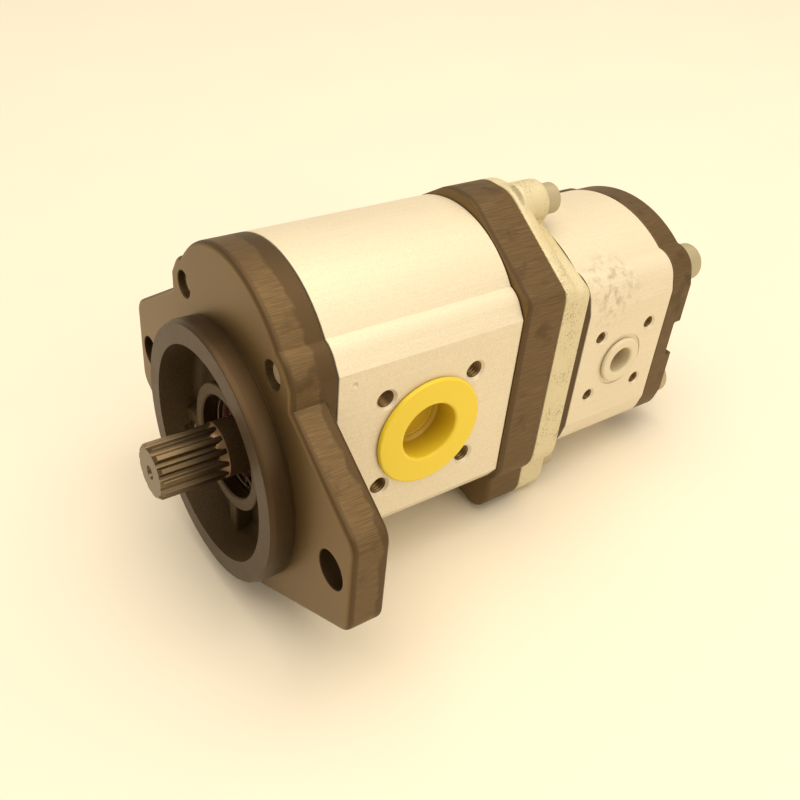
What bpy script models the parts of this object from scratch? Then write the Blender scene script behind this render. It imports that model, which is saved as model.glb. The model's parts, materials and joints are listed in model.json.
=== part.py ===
"""Two-stage hydraulic gear pump with a two-bolt pilot flange and a splined shaft.

Every piece is its own object. Pieces are modelled in the pump's own frame, whose
origin is where the shaft axis crosses the mounting face: +X is towards the inlet
ports, +Y runs away from the shaft end, and +Z from the drive gears to the driven
gears. One empty carries that frame, and puts the world origin at the bottom
centre of the whole pump's box. Units are metres.
"""

import math
from dataclasses import dataclass

import bmesh
import bpy
from mathutils import Matrix, Vector

# Clearances
GAP = 0.0003  # between pieces that touch
BUSH_WALL = 0.0015
THREAD_LENGTH = 0.012  # of each bolt in its last tapped hole
HEAD_CHAMFER = 0.0008
TIP_CHAMFER = 0.0010
SOCKET_SHARE = 0.55  # of the head's height
STEP = 0.0002  # between faces of one casting that are nearly flush
OVERRUN = 0.0100  # how far a cutter runs past a face
LAP = 0.0020  # how far joined shapes reach into each other

# Mounting flange and front cover
PILOT_RADIUS = 0.0508
PILOT_HEIGHT = 0.0095
PILOT_LEAD_LENGTH = 0.0020
PILOT_LEAD_DROP = 0.0006
PILOT_WALL = 0.0088
HOLLOW_FLOOR = 0.0080  # behind the mounting face
HUB_WALL = 0.0049
HUB_FACE = -0.0013
SEAL_FLOOR_THICKNESS = 0.0043
COVER_THICKNESS = 0.0176
EAR_SETBACK = 0.0036  # of the ears' rear face from the cover's
MOUNT_HOLE_SPACING = 0.1460
MOUNT_HOLE_RADIUS = 0.00715
EAR_END = 0.0120  # from a mounting hole's axis to the ear's flat end
EAR_HALF_HEIGHT = 0.0228
EAR_CORNER = 0.0080
WEB_RADIUS = 0.0600  # round web that the ears run into
WEB_RISE = 0.0030
RIB_THICKNESS = 0.0060
RIB_SETBACK = 0.0020  # of the ribs from the hub's face
TAPPED_BOSS_FACE = 0.0010
TAPPED_BOSS_RADIUS = 0.0105
TAPPED_BOSS_DRAFT = 0.0015
BOLT_TIP_SETBACK = 0.0024  # of a front bolt's tip from the mounting face

# Shaft end, seal and retaining ring
SPLINE_TEETH = 13
SPLINE_STEP = 0.0002  # of the spline's tips below the journal
SPLINE_DEPTH = 0.0015
SPLINE_END = -0.0309
SPLINE_RUNOUT = -0.0030
SPLINE_CHAMFER = 0.0015
SPLINE_SHOULDER = 0.0016  # length of the cone between the spline's root and the journal
SPLINE_TIP_WIDTH = 0.18  # share of the pitch, each side of a tooth's middle
SPLINE_ROOT_WIDTH = 0.34
CENTRE_HOLE_RADIUS = 0.0036
CENTRE_HOLE_DEPTH = 0.0060
SHAFT_CHAMFER = 0.0005
SEAL_LENGTH = 0.0065
SEAL_SECTION = 0.0093  # from the journal to the seal's bore
SEAL_WALL = 0.0015
SEAL_SKIRT = 0.0025  # opening behind the lip
SEAL_LIP = 0.0008
RING_THICKNESS = 0.0015
RING_WIDTH = 0.0024
RING_GROOVE_DEPTH = 0.0010
RING_LUG_RADIUS = 0.0026
RING_LUG_HOLE = 0.0011
RING_GAP_DIRECTION = -50.0  # degrees from +X towards +Z
RING_GAP_HALF = 15.0

# Plastic port caps
CAP_CHAMFER = 0.0006
CAP_DRAFT = 0.0003

# Seals in grooves
SEAL_WIDTH = 0.0018
SEAL_HEIGHT = 0.0014
BODY_SEAL_WALL = 0.0035  # between the gear bore and the groove
BLOCK_SEAL_INSET = 0.0038  # from the gear bore to the middle of the seal
BLOCK_SEAL_SWEEP = math.radians(120)  # direction where the seal starts, from its gear's axis

# Plate and adapter between the two stages
PLATE_THICKNESS = 0.0190
PLATE_SIDE_STEP = 0.0009  # plate wider than the front body, each side
PLATE_CORNER = 0.0050
PLATE_CORNER_RISE = 0.0039  # corner centre above the upper bolts
PLATE_BOSS_RADIUS = 0.0126
CREST_X = 0.0026
CREST_RISE = 0.0338  # above the driven gear's axis
CREST_RADIUS = 0.0152
FOOT_INSET = 0.0004  # from a lower bolt's axis to its foot's middle
FOOT_DROP = 0.0180
FOOT_RADIUS = 0.0085
FOOT_INNER_RISE = 0.0040
ADAPTER_THICKNESS = 0.0136
ADAPTER_RIM = 0.0060  # of the thickness that keeps the plate's outline
ADAPTER_SHOULDER_DROP = 0.0080  # how far the rear of the crest sits below it
EAR_BOLT_X = 0.0065
EAR_BOLT_RISE = 0.0081  # above the crest's middle
EAR_RADIUS = 0.0090
EAR_PROUD = 0.0020  # of the adapter's rear face
FOOT_BOLT_RISE = 0.0030
COUPLING_WALL = 0.0045
COUPLING_LENGTH = 0.0290
COUPLING_SETBACK = 0.0035
TONGUE_STEP = 0.0010  # of the shaft ends' radius below the rear journal
TONGUE_FLAT = 0.0022  # depth of the flats cut on them
TONGUE_SPACE = 0.0010  # between the two shaft ends inside the coupling
REAR_PLATE_THICKNESS = 0.0061

# Rear cover
REAR_COVER_THICKNESS = 0.0121
CHANNEL_DEPTH = 0.0046
CHANNEL_WIDTH = 0.0170
CHANNEL_RISE = 0.0008  # of its middle above the ports


@dataclass
class Bolt:
    """A socket-head cap screw."""

    radius: float
    head_radius: float
    head_height: float
    socket_radius: float

    @property
    def hole(self):
        return self.radius + GAP


LARGE_BOLT = Bolt(radius=0.0049, head_radius=0.0080, head_height=0.0100, socket_radius=0.0046)
SMALL_BOLT = Bolt(radius=0.0039, head_radius=0.0062, head_height=0.0080, socket_radius=0.0035)


@dataclass
class Port:
    """A round port with four tapped holes, and the cap pushed into it."""

    bolt_circle: float
    thread_radius: float
    thread_depth: float
    bore_radius: float
    cap_flange_radius: float
    cap_flange_thickness: float
    cap_wall: float
    cap_depth: float
    pad_radius: float
    pad_depth: float


FRONT_PORT = Port(
    bolt_circle=0.0550,
    thread_radius=0.0040,
    thread_depth=0.0150,
    bore_radius=0.0135,
    cap_flange_radius=0.0223,
    cap_flange_thickness=0.0018,
    cap_wall=0.0015,
    cap_depth=0.0120,
    pad_radius=0.0,
    pad_depth=0.0,
)
REAR_PORT = Port(
    bolt_circle=0.0400,
    thread_radius=0.0030,
    thread_depth=0.0130,
    bore_radius=0.0073,
    cap_flange_radius=0.0103,
    cap_flange_thickness=0.0018,
    cap_wall=0.0012,
    cap_depth=0.0100,
    pad_radius=0.0122,
    pad_depth=0.0005,
)


@dataclass
class Stage:
    """One gear stage: sizes that can be set, and the ones that follow from them."""

    name: str
    gear_distance: float
    teeth: int
    gear_width: float
    block_length: float
    journal_radius: float
    arc_wall: float  # metal around the gear bores, top and bottom
    arc_inset: float  # of the top arc's middle from the driven gear's axis
    bolt_wall: float  # from the gear bore to a bolt's axis
    bolt_angle: float  # direction of a bolt from its gear's axis, in degrees
    side_wall: float  # from a bolt's axis to the port face
    boss_radius: float
    crease_rise: float  # crease of the port face above the upper bolts
    port: Port

    @property
    def module(self):
        return self.gear_distance / self.teeth

    @property
    def tip_radius(self):
        return self.gear_distance / 2 + self.module

    @property
    def bore_radius(self):
        return self.tip_radius + GAP

    @property
    def arc_radius(self):
        return self.bore_radius + self.arc_wall + self.arc_inset

    @property
    def bolt_x(self):
        return (self.bore_radius + self.bolt_wall) * math.cos(math.radians(self.bolt_angle))

    @property
    def bolt_top(self):
        reach = self.bore_radius + self.bolt_wall
        return self.gear_distance + reach * math.sin(math.radians(self.bolt_angle))

    @property
    def bolt_bottom(self):
        return self.gear_distance - self.bolt_top

    @property
    def half_width(self):
        return self.bolt_x + self.side_wall

    @property
    def middle(self):
        return self.gear_distance / 2

    @property
    def body_length(self):
        return self.gear_width + 2 * self.block_length + 4 * GAP

    def bolts(self):
        """Axes of the four through bolts, as (x, z)."""
        return [(x, z) for z in (self.bolt_top, self.bolt_bottom) for x in (self.bolt_x, -self.bolt_x)]


FRONT = Stage(
    name="front",
    gear_distance=0.0354,
    teeth=12,
    gear_width=0.0380,
    block_length=0.0197,
    journal_radius=0.0110,
    arc_wall=0.0239,
    arc_inset=0.0,
    bolt_wall=0.0165,
    bolt_angle=26.8,
    side_wall=0.0119,
    boss_radius=0.0102,
    crease_rise=0.0004,
    port=FRONT_PORT,
)
REAR = Stage(
    name="rear",
    gear_distance=0.0304,
    teeth=12,
    gear_width=0.0160,
    block_length=0.0155,
    journal_radius=0.0090,
    arc_wall=0.0181,
    arc_inset=0.0152,
    bolt_wall=0.0157,
    bolt_angle=26.0,
    side_wall=0.0125,
    boss_radius=0.0113,
    crease_rise=-0.0030,
    port=REAR_PORT,
)

# Sizes that follow from the stages
EAR_THICKNESS = COVER_THICKNESS - EAR_SETBACK
HOLLOW_RADIUS = PILOT_RADIUS - PILOT_WALL
SEAL_BORE_RADIUS = FRONT.journal_radius + SEAL_SECTION
SEAL_BORE_FLOOR = COVER_THICKNESS - SEAL_FLOOR_THICKNESS
HUB_RADIUS = SEAL_BORE_RADIUS + HUB_WALL
SPLINE_TIP_RADIUS = FRONT.journal_radius - SPLINE_STEP
SPLINE_ROOT_RADIUS = SPLINE_TIP_RADIUS - SPLINE_DEPTH
CREST_Z = FRONT.gear_distance + CREST_RISE
FOOT_X = FRONT.bolt_x - FOOT_INSET
FOOT_Z = FRONT.bolt_bottom - FOOT_DROP
TONGUE_RADIUS = REAR.journal_radius - TONGUE_STEP
TONGUE_HALF_WIDTH = TONGUE_RADIUS - TONGUE_FLAT
COUPLING_RADIUS = TONGUE_RADIUS + COUPLING_WALL

# Stations along the shaft axis, from the mounting face
FRONT_BODY_START = COVER_THICKNESS + GAP
FRONT_BODY_END = FRONT_BODY_START + FRONT.body_length
PLATE_START = FRONT_BODY_END + GAP
PLATE_END = PLATE_START + PLATE_THICKNESS
ADAPTER_START = PLATE_END + GAP
ADAPTER_END = ADAPTER_START + ADAPTER_THICKNESS
REAR_PLATE_START = ADAPTER_END + GAP
REAR_PLATE_END = REAR_PLATE_START + REAR_PLATE_THICKNESS
REAR_BODY_START = REAR_PLATE_END + GAP
REAR_BODY_END = REAR_BODY_START + REAR.body_length
REAR_COVER_START = REAR_BODY_END + GAP
REAR_COVER_END = REAR_COVER_START + REAR_COVER_THICKNESS
PUMP_END = REAR_COVER_END + GAP + LARGE_BOLT.head_height
COUPLING_START = PLATE_START + COUPLING_SETBACK
COUPLING_END = COUPLING_START + COUPLING_LENGTH
COUPLING_MIDDLE = (COUPLING_START + COUPLING_END) / 2

# The world origin: bottom centre of the pump's box
MOUNTING_FACE_Y = -(SPLINE_END + PUMP_END) / 2
SHAFT_HEIGHT = WEB_RADIUS - WEB_RISE

# Colours as (red, green, blue), then roughness and metallic
CAST_BLACK = ((0.045, 0.033, 0.024), 0.62, 0.25)
BARE_ALUMINIUM = ((0.60, 0.56, 0.47), 0.42, 0.9)
CAST_ALUMINIUM = ((0.55, 0.53, 0.44), 0.55, 0.8)
GROUND_STEEL = ((0.42, 0.37, 0.30), 0.28, 1.0)
PLATED_STEEL = ((0.58, 0.56, 0.50), 0.35, 0.9)
BEARING_ALLOY = ((0.48, 0.45, 0.38), 0.4, 0.9)
BRONZE = ((0.45, 0.28, 0.13), 0.35, 1.0)
RED_RUBBER = ((0.25, 0.07, 0.04), 0.6, 0.0)
BLACK_RUBBER = ((0.02, 0.02, 0.02), 0.7, 0.0)
YELLOW_PLASTIC = ((0.80, 0.53, 0.01), 0.45, 0.0)
GREY_PLASTIC = ((0.55, 0.54, 0.46), 0.5, 0.0)


# ---------------------------------------------------------------- scene helpers


def clear_scene():
    for obj in list(bpy.data.objects):
        bpy.data.objects.remove(obj, do_unlink=True)


def new_collection(name, hidden=False):
    collection = bpy.data.collections.new(name)
    bpy.context.scene.collection.children.link(collection)
    collection.hide_render = hidden
    return collection


clear_scene()
PARTS = new_collection("hydraulic_gear_pump")
CUTTERS = new_collection("cutters", hidden=True)
FRAME = bpy.data.objects.new("pump_frame", None)
FRAME.location = (0, MOUNTING_FACE_Y, SHAFT_HEIGHT)
PARTS.objects.link(FRAME)


def add_object(name, mesh, at=(0, 0, 0)):
    obj = bpy.data.objects.new(name, mesh)
    obj.location = at
    obj.parent = FRAME
    PARTS.objects.link(obj)
    return obj


def as_helper(obj):
    """Takes an object out of the model, for use by a Boolean."""
    PARTS.objects.unlink(obj)
    CUTTERS.objects.link(obj)
    obj.hide_render = True
    obj.display_type = "WIRE"
    return obj


def boolean(obj, helper, operation="DIFFERENCE"):
    modifier = obj.modifiers.new(operation.lower(), "BOOLEAN")
    modifier.operation = operation
    modifier.solver = "EXACT"
    modifier.object = as_helper(helper)


def cut(obj, helper):
    boolean(obj, helper, "DIFFERENCE")


def join(obj, helper):
    boolean(obj, helper, "UNION")


def finish(obj, look):
    """Gives an object its own material, and smooth shading on its round faces."""
    colour, roughness, metallic = look
    material = bpy.data.materials.new(obj.name)
    material.use_nodes = True
    shader = material.node_tree.nodes["Principled BSDF"]
    shader.inputs["Base Color"].default_value = (*colour, 1.0)
    shader.inputs["Roughness"].default_value = roughness
    shader.inputs["Metallic"].default_value = metallic
    obj.data.materials.clear()
    obj.data.materials.append(material)
    obj.data.shade_smooth()
    obj.data.set_sharp_from_angle(angle=math.radians(30))
    return obj


# -------------------------------------------------------------------- outlines


def arc(centre, radius, start, end, steps):
    """Points on an arc, angles in radians, ends included."""
    points = []
    for i in range(steps + 1):
        angle = start + (end - start) * i / steps
        points.append((centre[0] + radius * math.cos(angle), centre[1] + radius * math.sin(angle)))
    return points


def circle(centre, radius, steps=32):
    return arc(centre, radius, 0, 2 * math.pi * (steps - 1) / steps, steps - 1)


def mirrored_x(points):
    return [(-x, z) for x, z in reversed(points)]


def taut_outline(circles, steps=36):
    """Outline of a band pulled tight around circles, each (x, z, radius)."""
    points = []
    for x, z, radius in circles:
        points += circle((x, z), radius, steps) if radius else [(x, z)]
    points = sorted(set((round(x, 7), round(z, 7)) for x, z in points))

    def chain(ordered):
        kept = []
        for p in ordered:
            while len(kept) > 1 and turn(kept[-2], kept[-1], p) <= 1e-12:
                kept.pop()
            kept.append(p)
        return kept[:-1]

    return chain(points) + chain(points[::-1])


def turn(a, b, c):
    return (b[0] - a[0]) * (c[1] - a[1]) - (b[1] - a[1]) * (c[0] - a[0])


def crossing(centre, radius, other, other_radius):
    """The crossing of two circles that lies to the left of the way from the first to the second."""
    way = Vector(other) - Vector(centre)
    along = (radius**2 - other_radius**2 + way.length_squared) / (2 * way.length)
    aside = math.sqrt(radius**2 - along**2)
    unit = way.normalized()
    return Vector(centre) + along * unit + aside * Vector((-unit.y, unit.x))


def direction(centre, point):
    return math.atan2(point[1] - centre[1], point[0] - centre[0])


def section_outline(stage):
    """Cross-section of a stage: arcs over the gears, a boss at each bolt, and flat port faces."""
    top = (0.0, stage.gear_distance - stage.arc_inset)
    bolt = (stage.bolt_x, stage.bolt_top)
    crease = (stage.half_width, stage.bolt_top + stage.crease_rise)
    meet = crossing(top, stage.arc_radius, bolt, stage.boss_radius)
    reach = math.dist(bolt, crease)
    tangent = direction(bolt, crease) + math.acos(min(1.0, stage.boss_radius / reach))
    upper = arc(top, stage.arc_radius, math.pi / 2, direction(top, meet), 8)
    upper += arc(bolt, stage.boss_radius, direction(bolt, meet), tangent, 3)[1:]
    upper.append(crease)
    lower = [(x, stage.gear_distance - z) for x, z in reversed(upper)]
    right = upper + lower
    return right + mirrored_x(right)[1:-1]


def eight_outline(stage, radius, steps=14):
    """Two equal circles around the gear axes, joined where they cross."""
    half = math.asin(stage.middle / radius)
    upper = arc((0.0, stage.gear_distance), radius, -half, math.pi + half, steps)
    lower = [(-x, stage.gear_distance - z) for x, z in upper]
    return upper + lower[1:-1]


def gear_outline(stage, phase):
    """Involute gear teeth, thinned for backlash. phase is the direction of one tooth."""
    pressure = math.radians(25)
    backlash = GAP
    pitch = stage.gear_distance / 2
    base = pitch * math.cos(pressure)
    root = pitch - 1.25 * stage.module
    half = math.pi / (2 * stage.teeth) - backlash / (2 * pitch)

    def flank(radius):
        angle = math.acos(base / radius)
        return half + involute(pressure) - involute(angle)

    flank_radii = [base + (stage.tip_radius - base) * i / 2 for i in range(3)]
    points = []
    for i in range(stage.teeth):
        centre = phase + 2 * math.pi * i / stage.teeth
        rising = [(root, flank(base))] + [(r, flank(r)) for r in flank_radii]
        points += [polar(r, centre - a) for r, a in rising]
        points += [polar(r, centre + a) for r, a in reversed(rising)]
    return points


def involute(angle):
    return math.tan(angle) - angle


def polar(radius, angle):
    return (radius * math.cos(angle), radius * math.sin(angle))


def spline_outline():
    points = []
    for i in range(SPLINE_TEETH):
        centre = math.pi / 2 + 2 * math.pi * i / SPLINE_TEETH
        pitch = 2 * math.pi / SPLINE_TEETH
        points.append(polar(SPLINE_ROOT_RADIUS, centre - SPLINE_ROOT_WIDTH * pitch))
        points.append(polar(SPLINE_TIP_RADIUS, centre - SPLINE_TIP_WIDTH * pitch))
        points.append(polar(SPLINE_TIP_RADIUS, centre + SPLINE_TIP_WIDTH * pitch))
        points.append(polar(SPLINE_ROOT_RADIUS, centre + SPLINE_ROOT_WIDTH * pitch))
    return points


def tongue_outline(extra=0.0):
    """A round bar with two flats, which drives through the coupling."""
    radius = TONGUE_RADIUS + extra
    half = math.asin((TONGUE_HALF_WIDTH + extra) / radius)
    end = arc((0, 0), radius, -half, half, 6)
    return end + [(-x, -z) for x, z in end]


def ring_outline():
    """An open retaining ring."""
    outer = SEAL_BORE_RADIUS + RING_GROOVE_DEPTH - GAP
    inner = outer - RING_WIDTH
    start = math.radians(RING_GAP_DIRECTION + RING_GAP_HALF)
    end = math.radians(RING_GAP_DIRECTION + 360 - RING_GAP_HALF)
    return arc((0, 0), outer, start, end, 20) + arc((0, 0), inner, end, start, 20)


# ---------------------------------------------------------------------- shapes


def prism(name, outlines, start, end):
    """Outlines in the XZ plane, filled and extruded along Y from start to end."""
    curve = bpy.data.curves.new(name, "CURVE")
    curve.dimensions = "2D"
    curve.fill_mode = "BOTH"
    curve.extrude = (end - start) / 2
    for points in outlines:
        spline = curve.splines.new("POLY")
        spline.points.add(len(points) - 1)
        for point, (x, z) in zip(spline.points, points):
            point.co = (x, z, 0, 1)
        spline.use_cyclic_u = True
    guide = bpy.data.objects.new(name, curve)
    PARTS.objects.link(guide)
    bpy.context.view_layer.update()
    graph = bpy.context.evaluated_depsgraph_get()
    mesh = bpy.data.meshes.new_from_object(guide.evaluated_get(graph))
    bpy.data.objects.remove(guide, do_unlink=True)
    bpy.data.curves.remove(curve)
    shape = bmesh.new()
    shape.from_mesh(mesh)
    bmesh.ops.remove_doubles(shape, verts=shape.verts, dist=1e-6)
    bmesh.ops.rotate(shape, verts=shape.verts, matrix=Matrix.Rotation(math.pi / 2, 3, "X"))
    bmesh.ops.translate(shape, verts=shape.verts, vec=(0, (end - start) / 2, 0))
    bmesh.ops.recalc_face_normals(shape, faces=shape.faces)
    shape.to_mesh(mesh)
    shape.free()
    mesh.name = name
    return add_object(name, mesh, (0, start, 0))


def rods(name, axes, radius, start, end, segments=12, radius_end=None):
    """Cylinders, or cones, along Y at each (x, z), as one helper."""
    shape = bmesh.new()
    for x, z in axes:
        place = Matrix.Translation((x, (start + end) / 2, z)) @ Matrix.Rotation(-math.pi / 2, 4, "X")
        bmesh.ops.create_cone(
            shape,
            cap_ends=True,
            segments=segments,
            radius1=radius,
            radius2=radius if radius_end is None else radius_end,
            depth=end - start,
            matrix=place,
        )
    return add_object(name, mesh_of(name, shape))


def side_rods(name, axes, radius, start, end, segments=12):
    """Cylinders along X at each (y, z), from start to end and again on the other side."""
    shape = bmesh.new()
    for side in (1, -1):
        for y, z in axes:
            place = Matrix.Translation((side * (start + end) / 2, y, z))
            bmesh.ops.create_cone(
                shape,
                cap_ends=True,
                segments=segments,
                radius1=radius,
                radius2=radius,
                depth=end - start,
                matrix=place @ Matrix.Rotation(math.pi / 2, 4, "Y"),
            )
    return add_object(name, mesh_of(name, shape))


def box(name, low, high):
    shape = bmesh.new()
    size = Vector(high) - Vector(low)
    place = Matrix.Translation((Vector(high) + Vector(low)) / 2) @ Matrix.Diagonal((*size, 1))
    bmesh.ops.create_cube(shape, size=1, matrix=place)
    return add_object(name, mesh_of(name, shape))


def mesh_of(name, shape):
    mesh = bpy.data.meshes.new(name)
    shape.to_mesh(mesh)
    shape.free()
    return mesh


def turned(name, profile, at, steps=32, closed=False, along="Y"):
    """A turned shape. profile is (radius, station) points, down the outer side from the far end."""
    mesh = bpy.data.meshes.new(name)
    edges = [(i, i + 1) for i in range(len(profile) - 1)]
    if closed:
        edges.append((len(profile) - 1, 0))
    mesh.from_pydata([(radius, 0, station) for radius, station in profile], edges, [])
    obj = add_object(name, mesh, at)
    if along == "Y":
        obj.rotation_euler = (-math.pi / 2, 0, 0)
    else:
        obj.rotation_euler = (0, math.pi / 2 if along == "+X" else -math.pi / 2, 0)
    screw = obj.modifiers.new("turn", "SCREW")
    screw.axis = "Z"
    screw.steps = steps
    screw.render_steps = steps
    screw.use_merge_vertices = True
    screw.merge_threshold = 1e-5
    return obj


# ------------------------------------------------------------------- sub-parts


def front_cover():
    cover = prism("front_cover", [section_outline(FRONT)], 0, COVER_THICKNESS)
    reach = MOUNT_HOLE_SPACING / 2 + EAR_END - EAR_CORNER
    rise = EAR_HALF_HEIGHT - EAR_CORNER
    corners = [(x, z, EAR_CORNER) for x in (reach, -reach) for z in (rise, -rise)]
    web = taut_outline(corners + [(0, WEB_RISE, WEB_RADIUS)], 32)
    join(cover, prism("flange_web", [web], STEP, EAR_THICKNESS))
    lead = PILOT_LEAD_LENGTH - PILOT_HEIGHT
    pilot = [
        (0, EAR_THICKNESS / 2),
        (PILOT_RADIUS, EAR_THICKNESS / 2),
        (PILOT_RADIUS, lead),
        (PILOT_RADIUS - PILOT_LEAD_DROP, -PILOT_HEIGHT),
        (0, -PILOT_HEIGHT),
    ]
    join(cover, turned("pilot", pilot, (0, 0, 0), 40))
    cut(cover, hollow_cutter())
    cut(cover, rods("seal_bore", [(0, 0)], SEAL_BORE_RADIUS, HUB_FACE - OVERRUN, SEAL_BORE_FLOOR, 28))
    cut(cover, rods("shaft_hole", [(0, 0)], FRONT.journal_radius + 3 * GAP, 0, COVER_THICKNESS + OVERRUN, 24))
    cut(cover, ring_groove())
    mounts = [(MOUNT_HOLE_SPACING / 2, 0), (-MOUNT_HOLE_SPACING / 2, 0)]
    cut(cover, rods("mount_holes", mounts, MOUNT_HOLE_RADIUS, -0.01, COVER_THICKNESS, 20))
    cut(cover, rods("tapped_holes", FRONT.bolts(), LARGE_BOLT.hole, -0.01, COVER_THICKNESS + OVERRUN))
    finish(cover, CAST_BLACK)


def hollow_cutter():
    """The ring-shaped hollow in the pilot, less the hub, two ribs and the lower bolt bosses."""
    space = rods("pilot_hollow", [(0, 0)], HOLLOW_RADIUS, -PILOT_HEIGHT - OVERRUN, HOLLOW_FLOOR, 36)
    cut(space, rods("hub", [(0, 0)], HUB_RADIUS, HUB_FACE, HOLLOW_FLOOR + OVERRUN, 28))
    half = RIB_THICKNESS / 2
    face = HUB_FACE + RIB_SETBACK
    cut(space, box("hub_ribs", (-half, face, -PILOT_RADIUS), (half, HOLLOW_FLOOR + OVERRUN, PILOT_RADIUS)))
    lower = FRONT.bolts()[2:]
    foot = TAPPED_BOSS_RADIUS + TAPPED_BOSS_DRAFT
    floor = HOLLOW_FLOOR + OVERRUN
    bosses = rods(
        "lower_bosses", lower, TAPPED_BOSS_RADIUS, TAPPED_BOSS_FACE, floor, 16, radius_end=foot
    )
    cut(space, bosses)
    return space


def ring_groove():
    outer = SEAL_BORE_RADIUS + RING_GROOVE_DEPTH
    middle = ring_station() + RING_THICKNESS / 2
    half = RING_THICKNESS / 2 + GAP
    inner = SEAL_BORE_RADIUS - LAP
    profile = [(inner, half), (outer, half), (outer, -half), (inner, -half)]
    return turned("ring_groove", profile, (0, middle, 0), 28, closed=True)


def seal_station():
    return SEAL_BORE_FLOOR - GAP - SEAL_LENGTH


def ring_station():
    return seal_station() - GAP - RING_THICKNESS


def shaft_seal():
    outer = SEAL_BORE_RADIUS - GAP
    inner = FRONT.journal_radius + GAP
    wall = SEAL_WALL
    profile = [
        (inner + SEAL_SKIRT, SEAL_LENGTH),
        (outer, SEAL_LENGTH),
        (outer, 0),
        (outer - wall, 0),
        (outer - wall, wall),
        (inner + wall, 2 * wall),
        (inner, 2 * wall + SEAL_LIP),
        (inner, 2 * wall + 2 * SEAL_LIP),
    ]
    finish(turned("shaft_seal", profile, (0, seal_station(), 0), 28, closed=True), RED_RUBBER)


def seal_retaining_ring():
    start = ring_station()
    ring = prism("seal_retaining_ring", [ring_outline()], start, start + RING_THICKNESS)
    reach = SEAL_BORE_RADIUS + RING_GROOVE_DEPTH - GAP - RING_WIDTH
    lugs = []
    for side in (1, -1):
        angle = math.radians(RING_GAP_DIRECTION + side * (RING_GAP_HALF + 5))
        lugs.append(polar(reach - RING_LUG_RADIUS * 0.6, angle))
    join(ring, rods("lugs", lugs, RING_LUG_RADIUS, start, start + RING_THICKNESS, 12))
    cut(ring, rods("lug_holes", lugs, RING_LUG_HOLE, start - OVERRUN, start + OVERRUN, 8))
    finish(ring, GROUND_STEEL)


def body_seal_track(stage, extra=0.0):
    """Outer and inner outline of the seal around both gear bores."""
    radius = stage.bore_radius + BODY_SEAL_WALL + SEAL_WIDTH / 2
    half = SEAL_WIDTH / 2 + extra
    return [eight_outline(stage, radius + half), eight_outline(stage, radius - half)]


def block_seal_track(stage, extra=0.0):
    """Outline of the open, 3-shaped seal on a bearing block, which passes round both bushes."""
    radius = stage.bore_radius - BLOCK_SEAL_INSET
    half = SEAL_WIDTH / 2 + extra
    sweep = BLOCK_SEAL_SWEEP + extra / radius
    sides = []
    for offset in (half, -half):
        upper = arc((0.0, stage.gear_distance), radius + offset, sweep, -math.pi / 3, 10)
        lower = [(x, stage.gear_distance - z) for x, z in reversed(upper)]
        sides.append(upper + lower)
    return [sides[0] + sides[1][::-1]]


def stage_body(stage, start):
    end = start + stage.body_length
    body = prism(stage.name + "_body", [section_outline(stage)], start, end)
    bore = [eight_outline(stage, stage.bore_radius, 22)]
    cut(body, prism(stage.name + "_gear_bore", bore, start - OVERRUN, end + OVERRUN))
    bolt_hole = LARGE_BOLT.hole
    cut(body, rods(stage.name + "_bolt_holes", stage.bolts(), bolt_hole, start - OVERRUN, end + OVERRUN))
    cut_ports(body, stage, (start + end) / 2)
    track = body_seal_track(stage, GAP)
    depth = SEAL_HEIGHT
    cut(body, prism(stage.name + "_groove_a", track, start - OVERRUN, start + depth))
    cut(body, prism(stage.name + "_groove_b", track, end - depth, end + OVERRUN))
    finish(body, BARE_ALUMINIUM)


def cut_ports(body, stage, station):
    """A round passage, its four tapped holes and its shallow pad, on both port faces."""
    port = stage.port
    face = stage.half_width
    inner = stage.bore_radius * 0.4
    name = stage.name
    middle = [(station, stage.middle)]
    cut(body, side_rods(name + "_passages", middle, port.bore_radius, inner, face + OVERRUN, 20))
    half = port.bolt_circle / 2 / math.sqrt(2)
    holes = [(station + y, stage.middle + z) for y in (half, -half) for z in (half, -half)]
    floor = face - port.thread_depth
    cut(body, side_rods(name + "_threads", holes, port.thread_radius, floor, face + OVERRUN))
    if port.pad_radius:
        floor = face - port.pad_depth
        cut(body, side_rods(name + "_pads", middle, port.pad_radius, floor, face + OVERRUN, 20))


def port_cap(stage, station, side):
    """A plastic cap: a thin flange on the port face, and a hollow cup in the passage."""
    port = stage.port
    face = stage.half_width - port.pad_depth + GAP
    cup = port.bore_radius - GAP
    outer = port.cap_flange_radius
    thick = port.cap_flange_thickness
    profile = [
        (0, -port.cap_depth + port.cap_wall),
        (cup - port.cap_wall, -port.cap_depth + port.cap_wall),
        (cup - port.cap_wall, thick - CAP_CHAMFER),
        (cup - port.cap_wall + CAP_CHAMFER, thick),
        (outer - CAP_CHAMFER, thick),
        (outer, thick - CAP_CHAMFER),
        (outer, 0),
        (cup, 0),
        (cup - CAP_DRAFT, -port.cap_depth),
        (0, -port.cap_depth),
    ]
    name = f"{stage.name}_{'inlet' if side > 0 else 'outlet'}_cap"
    along = "+X" if side > 0 else "-X"
    cap = turned(name, profile, (side * face, station, stage.middle), 20, along=along)
    finish(cap, YELLOW_PLASTIC if stage is FRONT else GREY_PLASTIC)


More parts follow.
